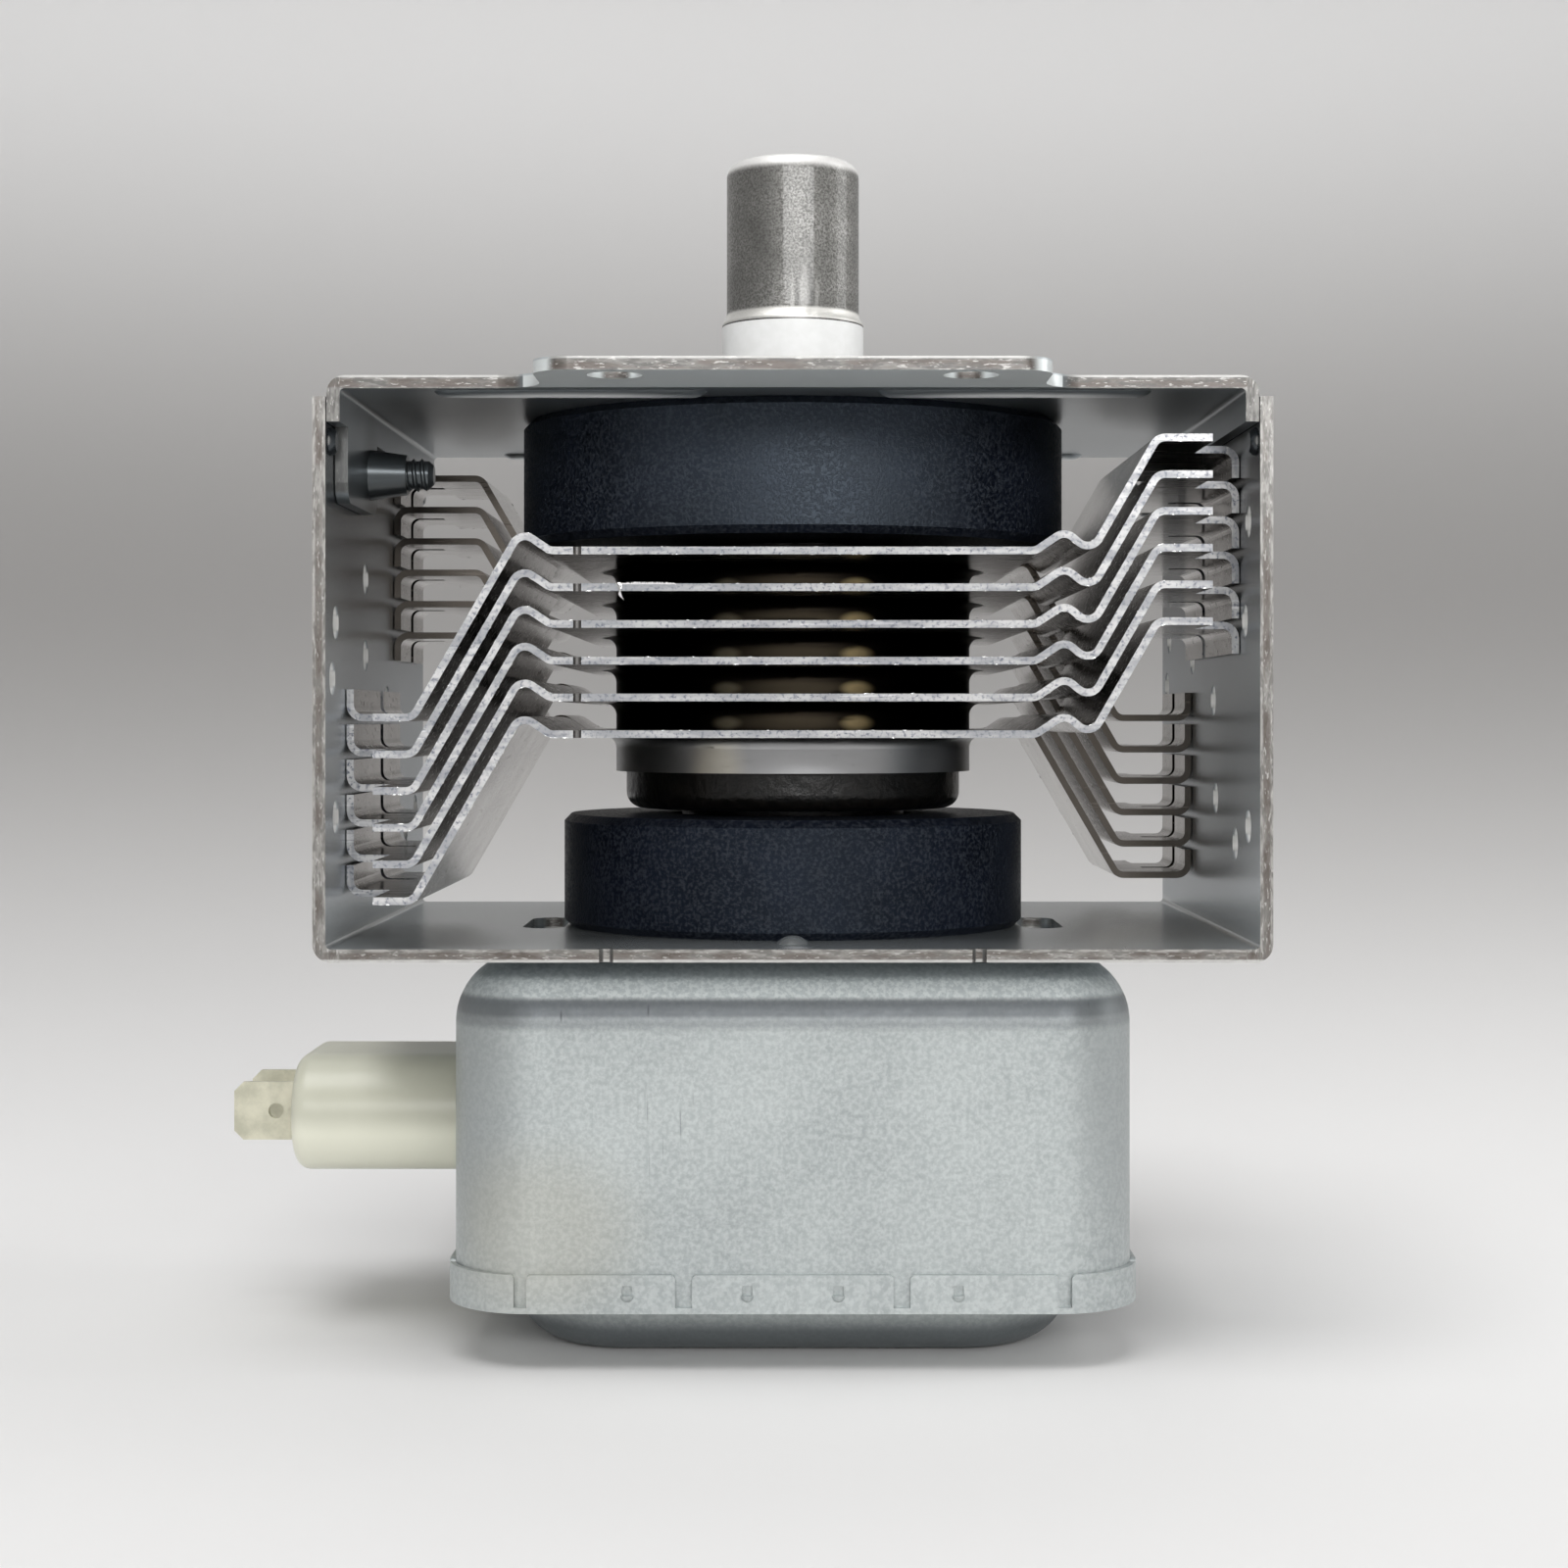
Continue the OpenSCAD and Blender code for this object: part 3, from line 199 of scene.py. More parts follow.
# %% Group: bands
bands, given = new_group("Bands", Vector=None, Height=0.0, Half_width=0.001, Radius=0.02)
place = split(bands, given["Vector"])
off = combine(bands, "ABSOLUTE", combine(bands, "SUBTRACT", place["Z"], given["Height"]))
share = combine(bands, "DIVIDE", off, given["Half width"])
level = add_node(bands, "ShaderNodeCombineXYZ", {"X": place["X"], "Y": place["Y"]}).outputs["Vector"]
reach = combine(bands, "DIVIDE", on_vectors(bands, "LENGTH", level), given["Radius"])
group_outputs(
    bands,
    Band=soft_step(bands, share, 0.6, 1.2, 1.0, 0.0),
    Disc=soft_step(bands, reach, 0.98, 1.02, 1.0, 0.0),
)

# %% [markdown]
# ## Spots
# A nick, a stain or a crimp sits at one place. The spot group measures how far a point is from that
# place, counted in the spot's own half sizes along X, Y and Z: 1 in the middle, 0 outside.

# %% Group: spot
spot, given = new_group("Spot", Vector=None, Place=(0.0, 0.0, 0.0), Size=(0.001, 0.001, 0.001))
shift = on_vectors(spot, "SUBTRACT", given["Vector"], given["Place"])
away = on_vectors(spot, "LENGTH", on_vectors(spot, "DIVIDE", shift, given["Size"]))
group_outputs(spot, Mask=soft_step(spot, away, 0.3, 1.0, 1.0, 0.0))

# %% [markdown]
# ## Starting a material
# Each finish starts the same way: a Principled BSDF, Object coordinates, and helpers that lay a
# second colour over the first through a mask and turn masks into roughness and relief. Values that
# are the same all over stay on the shader's own sockets.


# %% Material helpers
def start_material(name, colour, metallic, roughness, **plain):
    """A material with plain values on its sockets. Returns material, tree, shader and coordinates."""
    material = bpy.data.materials.new(name)
    material.use_nodes = True
    tree = material.node_tree
    shader = tree.nodes["Principled BSDF"]
    shader.inputs["Base Color"].default_value = (*colour, 1.0)
    shader.inputs["Metallic"].default_value = metallic
    shader.inputs["Roughness"].default_value = roughness
    for socket, value in plain.items():
        shader.inputs[socket.replace("_", " ")].default_value = value
    return material, tree, shader, add_node(tree, "ShaderNodeTexCoord").outputs["Object"]


def connect(tree, shader, **outputs):
    """Links outputs to the shader's sockets of the same names."""
    for socket, output in outputs.items():
        tree.links.new(output, shader.inputs[socket.replace("_", " ")])


def lay_over(tree, under, over, mask, strength=1.0):
    """Mixes colour over onto under where mask is 1. Either colour is a tuple or an output."""
    inputs = {"Factor": combine(tree, "MULTIPLY", mask, strength)}
    for socket, colour in ((6, under), (7, over)):
        inputs[socket] = (*colour, 1.0) if isinstance(colour, tuple) else colour
    return add_node(tree, "ShaderNodeMix", inputs, data_type="RGBA").outputs[2]


def vary(tree, mask, low, high):
    """A value that goes from low where mask is 0 to high where it is 1."""
    inputs = {"Value": mask, "To Min": low, "To Max": high}
    return add_node(tree, "ShaderNodeMapRange", inputs).outputs["Result"]


def relief(tree, shader, height, strength, distance):
    """Feeds a height through a Bump node into the shader's normal; distance is its depth in metres."""
    inputs = {"Height": height, "Strength": strength, "Distance": distance}
    connect(tree, shader, Normal=add_node(tree, "ShaderNodeBump", inputs).outputs["Normal"])


print("material helpers ready")


# %% Groups in a material
def place_group(tree, group, coords, **values):
    """A node group in a material, reading the given coordinates. Returns its outputs."""
    inputs = {name.replace("_", " "): value for name, value in values.items()}
    return add_node(tree, "ShaderNodeGroup", {"Vector": coords, **inputs}, node_tree=group).outputs


def mottle_at(tree, coords, scale, low, high, detail=4.0):
    """A mottled mask: scale counts patches in a metre, low and high are the noise's soft threshold."""
    return place_group(tree, mottle, coords, Scale=scale, Detail=detail, Low=low, High=high)["Mask"]


def band_at(tree, coords, height, half_width):
    """A soft band of heights, in metres."""
    return place_group(tree, bands, coords, Height=height, Half_width=half_width)["Band"]


def spot_at(tree, coords, place_mm, size_mm):
    """A soft spot whose place and half sizes are in millimetres."""
    place, size = (tuple(value * MM for value in triple) for triple in (place_mm, size_mm))
    return place_group(tree, spot, coords, Place=place, Size=size)["Mask"]


print("masks ready: mottle, band and spot")

# %% [markdown]
# ## Zinc-coated sheet of the yoke
# The yoke is folded from galvanised steel: cool blue-grey and a little cloudy. Its sheared edges are
# bare steel that has begun to stain brown. Masks for the walls measure |X|, the distance from the
# yoke's middle plane.

# %% Masks of the yoke
yoke_lo, yoke_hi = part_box("yoke_frame")
sheet_t = 1.3 * MM
upright_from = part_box("yoke_plate")[1][0] - sheet_t
wall_middle = yoke_hi[0] - sheet_t / 2
sole_middle = yoke_lo[2] + sheet_t / 2
cut_reach, ear_reach = 34.5 * MM, 35.8 * MM


def side_of(tree, coords):
    """|X|, the distance from the middle plane."""
    return combine(tree, "ABSOLUTE", split(tree, coords)["X"])


def on_uprights(tree, coords):
    """1 at the two side walls of the yoke, 0 between them."""
    return combine(tree, "GREATER_THAN", side_of(tree, coords), upright_from)


def inside_walls(tree, coords, mask):
    """A mask kept only between the middles of the two side walls, so that their outer faces stay plain."""
    within = combine(tree, "LESS_THAN", side_of(tree, coords), wall_middle)
    return combine(tree, "MULTIPLY", within, mask)


def in_walls(tree, coords, half_width):
    """A soft band round the middle of the side walls' thickness."""
    turned = add_node(tree, "ShaderNodeCombineXYZ", {"Z": side_of(tree, coords)}).outputs["Vector"]
    return band_at(tree, turned, wall_middle, half_width)


def wall_bores(tree, coords):
    """1 inside the side walls' thickness, away from their ends: the bores of the holes."""
    ends = place_group(tree, sheared, coords, Reach=cut_reach)["Beyond"]
    return combine(tree, "SUBTRACT", in_walls(tree, coords, 0.55 * MM), ends, clamp=True)


print("yoke walls from |X| =", round(upright_from / MM, 2), "mm")


# %% Marks along the cut edges
def middle_line(tree, coords):
    """A soft line along the middle of the sheet's thickness on its cut edges, level and upright."""
    low = band_at(tree, coords, sole_middle, 0.4 * MM)
    top = band_at(tree, coords, -0.6 * sheet_t, 0.45 * MM)
    return combine(tree, "MAXIMUM", combine(tree, "MAXIMUM", low, top), in_walls(tree, coords, 0.4 * MM))


def edge_streaks(tree, coords, scale, low, high):
    """Streaks that follow a cut edge: drawn out along X where it is level, along Z where it is upright."""
    level, upright = (
        mottle_at(tree, on_vectors(tree, "MULTIPLY", coords, factors), scale, low, high, detail=2.0)
        for factors in ((0.22, 1.0, 1.0), (1.0, 1.0, 0.22))
    )
    inputs = {"Factor": on_uprights(tree, coords), 2: level, 3: upright}
    return add_node(tree, "ShaderNodeMix", inputs, data_type="FLOAT").outputs[0]


print("line and streaks for edges cut beyond", round(cut_reach / MM, 1), "mm")


# %% Zinc and its worn edges
def zinc_sheet(name, dark, light, metallic, roughness, cloud):
    """Galvanised steel: two tones in broad clouds. Returns what others add to."""
    material, tree, shader, coords = start_material(name, light, metallic, roughness)
    clouds = mottle_at(tree, coords, 45.0, 0.3, 0.7)
    return material, tree, shader, coords, lay_over(tree, dark, light, clouds, cloud)


def wear_edges(tree, shader, coords, tone, matt, pale, bore):
    """Lays the bare cut edge over a zinc tone: grey fracture up to pale, a broken brown line in the
    middle, bright flecks, painted highlights on the lips, and bores in the colour given. Where matt
    is 1, light scatters."""
    cut = place_group(tree, sheared, coords, Reach=cut_reach)
    sole = band_at(tree, coords, sole_middle, 1.1 * MM)
    tabs = combine(tree, "MULTIPLY_ADD", cut["Inner"], on_uprights(tree, coords), cut["Mask"], clamp=True)
    edge = combine(tree, "MULTIPLY_ADD", cut["Inner"], sole, tabs, clamp=True)
    bores = combine(tree, "SUBTRACT", cut["Inner"], sole, clamp=True)
    fracture = edge_streaks(tree, coords, 2600.0, 0.38, 0.62)
    bright = edge_streaks(tree, coords, 4200.0, 0.58, 0.68)
    patches = edge_streaks(tree, coords, 1300.0, 0.36, 0.6)
    rust = combine(tree, "MULTIPLY", patches, middle_line(tree, coords))
    broken, clean = (0.5 * pale, 0.48 * pale, 0.45 * pale), (pale, 0.98 * pale, 0.93 * pale)
    worn = lay_over(tree, broken, clean, fracture)
    worn = lay_over(tree, worn, (0.085, 0.062, 0.05), rust, 0.7)
    worn = lay_over(tree, worn, (0.55, 0.54, 0.52), bright, 0.7)
    worn = lay_over(tree, worn, bore, bores, 0.75)
    # Pale lines along the lips of the cut edges: painted highlights.
    for highlight_lip_z in (yoke_lo[2] + 0.12 * MM, -0.06 * MM):
        worn = lay_over(tree, worn, (0.74, 0.74, 0.72), band_at(tree, coords, highlight_lip_z, 0.17 * MM), 0.5)
    scatter = vary(tree, combine(tree, "MAXIMUM", edge, matt), 0.7, 0.25)
    connect(tree, shader, Base_Color=lay_over(tree, tone, worn, edge), Metallic=scatter)


print("zinc helpers ready")

# %% [markdown]
# The frame's sheet has painted shade inside under the plate, a painted sheen towards the front of its
# walls and painted light on its sole. Its bores are bare steel, painted bright as a painted highlight.
# A pip and two stained notches lie on its sole.

# %% Material: frame zinc
frame_zinc, tree, shader, coords, tone = zinc_sheet(
    "frame zinc", (0.30, 0.335, 0.36), (0.42, 0.46, 0.485), 0.7, 0.27, 0.3
)
# The bores are bare steel, painted much paler than the other cut edges: a painted highlight.
bore_highlight = (0.80, 0.80, 0.78)
# Painted shade inside the walls, under the plate.
painted_shade_under_plate = inside_walls(tree, coords, band_at(tree, coords, -4.0 * MM, 22.0 * MM))
tone = lay_over(tree, tone, (0.03, 0.035, 0.04), painted_shade_under_plate, 0.9)
# Painted light: the sole's upper face is painted lighter.
painted_light_on_sole = band_at(tree, coords, yoke_lo[2] + sheet_t, 1.0 * MM)
tone = lay_over(tree, tone, (0.47, 0.50, 0.505), painted_light_on_sole, 0.85)
# Painted sheen: paler spots towards the front of the inner walls.
for x, shine in ((yoke_lo[0], 0.5), (yoke_hi[0], 0.28)):
    painted_sheen = spot_at(tree, coords, (x / MM, -36.0, -40.0), (5.0, 26.0, 34.0))
    tone = lay_over(tree, tone, (0.80, 0.85, 0.88), inside_walls(tree, coords, painted_sheen), shine)
pip = spot_at(tree, coords, (0.3, -33.0, -56.3), (2.4, 3.0, 1.3))
tone = lay_over(tree, tone, (0.85, 0.88, 0.90), pip, 0.8)
for x in (-18.5, 18.5):
    notch = spot_at(tree, coords, (x, -36.0, -58.0), (2.2, 4.0, 3.0))
    tone = lay_over(tree, tone, (0.10, 0.085, 0.075), notch, 0.85)
bores = wall_bores(tree, coords)
tone = lay_over(tree, tone, bore_highlight, bores, 0.8)
wear_edges(tree, shader, coords, tone, combine(tree, "MAXIMUM", pip, bores), 0.38, bore_highlight)
print("made", frame_zinc.name)

# %% [markdown]
# The upper sheet has dark drawn bosses, pale ears, a top face painted lighter as painted light, and a
# painted highlight on each fold's bead.

# %% Material: plate zinc
plate_zinc, tree, shader, coords, tone = zinc_sheet(
    "plate zinc", (0.22, 0.245, 0.26), (0.31, 0.34, 0.355), 0.7, 0.28, 0.3
)
for side in (-1.0, 1.0):
    boss = spot_at(tree, coords, (43.0 * side, 15.0 * side, -8.0), (9.0, 8.0, 8.0))
    tone = lay_over(tree, tone, (0.055, 0.062, 0.066), boss, 0.85)
matt = place_group(tree, sheared, coords, Reach=ear_reach)["Beyond"]
tone = lay_over(tree, tone, (0.74, 0.78, 0.78), matt, 0.95)
# Painted light: the plate's top face is painted lighter.
tone = lay_over(tree, tone, (0.48, 0.52, 0.54), band_at(tree, coords, 0.0, 0.2 * MM), 0.9)
# A painted highlight along the bead of each fold.
for x in (-22.3, 22.3):
    for y in (-32.0, 32.0):
        painted_bead_highlight = spot_at(tree, coords, (x, y, -1.9), (17.0, 2.2, 0.6))
        tone = lay_over(tree, tone, (0.95, 0.97, 0.97), painted_bead_highlight)
        matt = combine(tree, "MAXIMUM", matt, painted_bead_highlight)
wear_edges(tree, shader, coords, tone, matt, 0.22, (0.11, 0.115, 0.115))
print("made", plate_zinc.name)

# %% [markdown]
# ## Zinc of the filter box
# The box and its lid are drawn from a thinner, paler sheet with a hot-dipped look: fine spangle,
# soft scuffs and a warm stain low on the left. A painted highlight runs round the shoulder, with a band
# of painted shade below it. It scatters more light than the yoke.

# %% Material: box zinc
box_dark, box_light = (0.34, 0.37, 0.375), (0.55, 0.59, 0.585)
box_rough, spangle = 0.42, 0.36
box_zinc, tree, shader, coords, tone = zinc_sheet("box zinc", box_dark, box_light, 0.45, box_rough, 0.5)
flakes = mottle_at(tree, coords, 900.0, 0.32, 0.68)
grain = mottle_at(tree, coords, 2600.0, 0.38, 0.64, detail=3.0)
drags = place_group(tree, scratches, coords, Squeeze=(2600.0, 2600.0, 70.0), Cover=0.45)["Mask"]
tone = lay_over(tree, tone, box_light, flakes, spangle)
tone = lay_over(tree, tone, box_dark, grain, 0.6 * spangle)
tone = lay_over(tree, tone, box_dark, drags, 0.2)
rough = vary(tree, flakes, box_rough - 0.1 * spangle, box_rough + 0.15 * spangle)
relief(tree, shader, grain, 0.2 * spangle, 0.05 * MM)
print("made", box_zinc.name, "with its spangle")

# %% [markdown]
# Over the plain sheet lie, in this order, fine specks, the painted highlight round the shoulder with its
# specks, four bands of painted shade (two below the highlight, one where the yoke covers the box, one at
# the foot), painted shade on the rounded corners, the stain, scuffs and nicks.

# %% Marks on the box
specks = mottle_at(tree, coords, 2000.0, 0.4, 0.62, detail=3.0)
# A painted highlight round the shoulder, with specks in it.
painted_shoulder_highlight = band_at(tree, coords, -61.6 * MM, 1.25 * MM)
tone = lay_over(tree, tone, (0.84, 0.88, 0.86), specks, 0.2)
tone = lay_over(tree, tone, (0.82, 0.87, 0.86), painted_shoulder_highlight, 0.5)
tone = lay_over(tree, tone, (0.95, 0.98, 0.96), combine(tree, "MULTIPLY", painted_shoulder_highlight, specks), 0.5)
# Painted shade: two bands below the shoulder highlight, one where the yoke covers the box, one at the foot.
for height, half, colour, strength in (
    (-63.9 * MM, 1.6 * MM, (0.12, 0.13, 0.14), 0.55),
    (-63.3 * MM, 1.0 * MM, (0.09, 0.10, 0.11), 0.72),
    (yoke_lo[2], 0.5 * MM, (0.04, 0.045, 0.045), 0.8),
    (-99.8 * MM, 3.7 * MM, (0.11, 0.125, 0.135), 0.84),
):
    tone = lay_over(tree, tone, colour, band_at(tree, coords, height, half), strength)
# Painted shade on the two rounded corners, then a real warm stain low on the left.
for at, size, colour, strength in (
    ((-34.0, -27.0, -73.0), (10.0, 12.0, 22.0), (0.29, 0.31, 0.315), 0.5),
    ((35.0, -27.0, -73.0), (10.0, 12.0, 22.0), (0.29, 0.31, 0.315), 0.55),
    ((-26.0, -30.0, -86.0), (14.0, 9.0, 12.0), (0.46, 0.44, 0.36), 0.35),
):
    tone = lay_over(tree, tone, colour, spot_at(tree, coords, at, size), strength)
scuffed = spot_at(tree, coords, (-13.5, -31.0, -74.0), (5.0, 6.0, 10.0))
marks = place_group(tree, scratches, coords, Squeeze=(3400.0, 400.0, 130.0), Cover=0.7)["Mask"]
tone = lay_over(tree, tone, (0.12, 0.13, 0.14), combine(tree, "MULTIPLY", scuffed, marks), 0.5)
for x, z in ((-23.4, -64.05), (-14.6, -63.5), (30.0, -62.9)):
    nick = spot_at(tree, coords, (x, -31.0, z), (0.18, 3.0, 0.9))
    tone = lay_over(tree, tone, (0.05, 0.055, 0.06), nick, 0.8)
connect(tree, shader, Base_Color=tone, Roughness=rough)
print("marked", box_zinc.name)

# %% [markdown]
# ## Aluminium of the fins
# Rolled aluminium is bright but not a mirror. Its faces are painted brownish grey with darker smears:
# a painted reflection of the neighbouring fins. The sheared edges are nearly white with fine dark
# specks. Rolling lines run along the sheet, so the roughness pattern is squeezed across Y.

# %% Material: fin aluminium, edges
fin_metal, tree, shader, coords = start_material("fin aluminium", (0.72, 0.71, 0.70), 1.0, 0.3)
sleeve_r, fin_reach, lip_reach = 21.2 * MM, 34.9 * MM, 34.0 * MM
roll = place_group(tree, scratches, coords, Squeeze=(60.0, 1800.0, 1800.0), Cover=0.6)["Mask"]
painted_reflection_smears = mottle_at(tree, coords, 140.0, 0.3, 0.75)
glint = mottle_at(tree, coords, 2400.0, 0.3, 0.52, detail=3.0)
sleeve = place_group(tree, bands, coords, Radius=sleeve_r)["Disc"]
cut = place_group(tree, sheared, coords, Reach=fin_reach)
deep = place_group(tree, sheared, coords, Reach=lip_reach)
lips = combine(tree, "SUBTRACT", deep["Inner"], deep["Rear"], clamp=True)
edge = combine(tree, "MAXIMUM", cut["Mask"], combine(tree, "SUBTRACT", lips, sleeve, clamp=True))
streak = edge_streaks(tree, coords, 900.0, 0.35, 0.62)
edge_tone = lay_over(tree, (0.40, 0.41, 0.43), (0.70, 0.70, 0.70), streak)
central = spot_at(tree, coords, (-3.0, -35.0, -26.0), (30.0, 9.0, 90.0))
edge_tone = lay_over(tree, edge_tone, (0.34, 0.35, 0.365), central, 0.4)
edge_tone = lay_over(tree, (0.18, 0.195, 0.24), edge_tone, glint)
print("made", fin_metal.name, "with bright edges")

# %% [markdown]
# Round the tube the sleeves are painted nearly black, painted shade between the fins, with a few golden
# painted reflections in each of the five gaps. The inner slit edges get painted shade too.
# The lowest sleeve is polished by the press and has one painted warm reflection.

# %% Fin faces and sleeves
# The faces' brownish tones and darker smears are a painted reflection of the neighbouring fins.
face_tone = lay_over(tree, (0.21, 0.192, 0.172), (0.38, 0.358, 0.34), painted_reflection_smears)
# Painted shade on the cut edges of the inner slits.
face_tone = lay_over(tree, face_tone, (0.075, 0.065, 0.055), cut["Inner"], 0.85)
notch = spot_at(tree, coords, (-21.3, -33.0, -25.0), (1.8, 5.0, 60.0))
face_tone = lay_over(tree, face_tone, (0.27, 0.265, 0.26), notch, 0.9)
# The sleeves between the fins are painted nearly black: painted shade.
lowest = band_at(tree, coords, -39.5 * MM, 3.2 * MM)
shade_darkened = combine(tree, "SUBTRACT", sleeve, lowest, clamp=True)
polished = combine(tree, "MULTIPLY", sleeve, lowest)
face_tone = lay_over(tree, face_tone, (0.013, 0.011, 0.009), shade_darkened)
# Painted reflections: golden spots low in each gap.
level_mm, pitch_mm, gap_count = -35.5, 3.63, 5
painted_glints = (
    (0.0, (10.0, 7.0, 1.3), (0.12, 0.10, 0.07), 0.6),
    (-7.0, (2.0, 7.0, 0.9), (0.45, 0.40, 0.28), 0.45),
    (6.8, (2.2, 7.0, 1.0), (0.80, 0.64, 0.34), 0.75),
)
for gap in range(gap_count):
    for x, size, colour, strength in painted_glints:
        painted_glint = spot_at(tree, coords, (x, -19.5, level_mm + (gap + 0.28) * pitch_mm), size)
        face_tone = lay_over(tree, face_tone, colour, combine(tree, "MULTIPLY", painted_glint, shade_darkened), strength)
face_tone = lay_over(tree, face_tone, (0.44, 0.445, 0.455), polished)
# A painted warm reflection on the lowest sleeve.
painted_warm_reflection = spot_at(tree, coords, (-8.2, -18.5, -39.5), (4.0, 6.0, 6.0))
face_tone = lay_over(tree, face_tone, (0.86, 0.80, 0.62), combine(tree, "MULTIPLY", painted_warm_reflection, polished), 0.4)
connect(
    tree,
    shader,
    Base_Color=lay_over(tree, face_tone, edge_tone, edge),
    Metallic=vary(tree, edge, 1.0, 0.25),
    Roughness=combine(tree, "MULTIPLY_ADD", sleeve, 0.17, vary(tree, roll, 0.2, 0.36)),
)
print("dressed the sleeves with", gap_count * len(painted_glints), "painted_glints")

# %% [markdown]
# ## Ferrite of the magnets
# A ring magnet is a pressed and fired ceramic: blue-black, matt, with a fine speckle of grain that
# catches light. The ring below gets a copy with a weaker specular: painted shade that keeps it darker
# than the upper one.


# %% Materials: ferrite
def fired_ferrite(name, specular):
    """Blue-black ceramic in two dark tones with a light speckle, which is rough and stands out a little."""
    bluish = (0.72, 0.86, 1.0, 1.0)
    material, tree, shader, coords = start_material(
        name, (0.02, 0.022, 0.028), 0.0, 0.5, Specular_IOR_Level=specular, Specular_Tint=bluish
    )
    grain = mottle_at(tree, coords, 2700.0, 0.42, 0.68)
    bloom = mottle_at(tree, coords, 90.0, 0.35, 0.7)
    tone = lay_over(tree, (0.003, 0.0045, 0.010), (0.007, 0.010, 0.020), bloom)
    tone = lay_over(tree, tone, (0.066, 0.075, 0.09), grain, 0.5)
    connect(tree, shader, Base_Color=tone, Roughness=vary(tree, grain, 0.38, 0.66))
    relief(tree, shader, grain, 0.34, 0.1 * MM)
    return material


ferrite = fired_ferrite("ferrite", 0.6)
# A copy with a weaker specular for the lower ring: painted shade.
shade_darkened_ferrite = fired_ferrite("dull ferrite", 0.2)
print("made", ferrite.name, "and", shade_darkened_ferrite.name)

# %% [markdown]
# ## Drawn steel of the antenna cap
# The cap is a drawn cup, tumbled matt, with a fine pepper of dark specks. Its crown and its flared
# skirt carry painted highlights, and a painted shadow line runs round its foot. Near its foot one
# upright crimp shows: a narrow raised line with a painted highlight between two lines of painted
# shade, with a painted highlight line outside each, at a fixed place on the front.

# %% Material: cap steel
cap_lo, cap_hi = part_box("antenna_cap")
cap_steel, tree, shader, coords = start_material(
    "cap steel", (0.42, 0.41, 0.39), 1.0, 0.36, Coat_Weight=0.45, Coat_Roughness=0.07
)
pepper = mottle_at(tree, coords, 4200.0, 0.32, 0.66)
cloud = mottle_at(tree, coords, 160.0, 0.35, 0.7)
tone = lay_over(tree, (0.24, 0.238, 0.226), (0.37, 0.366, 0.35), cloud)
tone = lay_over(tree, (0.14, 0.137, 0.128), tone, pepper)
crimp_x, crimp_y, crimp_z = 1.3, -7.4, 12.4
# The crimp's flanks: pale outer lines are painted highlights, dark inner lines painted shade.
for x, half, colour in ((1.35, 0.3, (0.50, 0.495, 0.475)), (0.85, 0.4, (0.06, 0.06, 0.056))):
    for side in (-1.0, 1.0):
        painted_flank_line = spot_at(tree, coords, (crimp_x + side * x, crimp_y, crimp_z - 0.6), (half, 3.0, 3.6))
        tone = lay_over(tree, tone, colour, painted_flank_line, 0.4)
# The crimp's ridge is a real raised bump with a painted highlight.
raised_lit_ridge = spot_at(tree, coords, (crimp_x, crimp_y, crimp_z), (0.85, 3.0, 4.6))
# Painted highlights on the skirt and the crown, and a painted shadow line at the cap's foot.
skirt_highlight = band_at(tree, coords, cap_lo[2] + 0.75 * MM, 0.7 * MM)
painted_shadow_line = band_at(tree, coords, cap_lo[2], 0.16 * MM)
crown_highlight = band_at(tree, coords, cap_hi[2], 1.5 * MM)
for mask, colour, strength in (
    (raised_lit_ridge, (0.46, 0.455, 0.44), 0.55),
    (skirt_highlight, (0.95, 0.94, 0.90), 0.85),
    (crown_highlight, (0.95, 0.94, 0.92), 0.8),
    (painted_shadow_line, (0.05, 0.045, 0.04), 0.9),
):
    tone = lay_over(tree, tone, colour, mask, strength)
connect(
    tree,
    shader,
    Base_Color=tone,
    Metallic=vary(tree, crown_highlight, 1.0, 0.35),
    Roughness=vary(tree, pepper, 0.62, 0.46),
)
relief(tree, shader, combine(tree, "MULTIPLY_ADD", pepper, 0.12, raised_lit_ridge), 0.24, 0.4 * MM)
print("made", cap_steel.name)

# %% [markdown]
# ## Plain finishes
# The remaining pieces need one or two tones each: white alumina, black lacquer, tin plate, copper,
# iron and the dark metals of the cathode. One function with a fine mottle makes them. The ivory resin
# is made by itself: its bottom part is painted paler as painted light bounced up from below, and it
# has one smudge.


# %% Materials: plain finishes
def mottled(name, dark, light, metallic, roughness, scale, depth=0.06 * MM, **plain):
    """Two tones of one finish in a fine mottle, with the same mottle as a faint relief."""
    material, tree, shader, coords = start_material(name, light, metallic, roughness, **plain)
    mask = mottle_at(tree, coords, scale, 0.3, 0.7)
    connect(tree, shader, Base_Color=lay_over(tree, dark, light, mask))
    relief(tree, shader, mask, 0.1, depth)
    return material


alumina = mottled("alumina", (0.90, 0.90, 0.885), (0.95, 0.95, 0.94), 0.0, 0.45, 700.0)
lacquer = mottled(
    "black lacquer", (0.002, 0.002, 0.002), (0.008, 0.007, 0.006), 0.0, 0.3, 900.0,
    depth=4.0 * MM, Specular_IOR_Level=0.35, Coat_Weight=0.06,
)
tin = mottled("tin plate", (0.50, 0.49, 0.385), (0.68, 0.66, 0.53), 0.45, 0.4, 420.0)
copper = mottled("bare copper", (0.62, 0.30, 0.18), (0.80, 0.45, 0.30), 1.0, 0.35, 300.0)
wire_enamel = mottled(
    "wire enamel", (0.36, 0.13, 0.04), (0.48, 0.20, 0.07), 0.3, 0.25, 300.0, Coat_Weight=0.5
)
soft_iron = mottled("soft iron", (0.30, 0.30, 0.31), (0.42, 0.42, 0.43), 1.0, 0.45, 500.0)
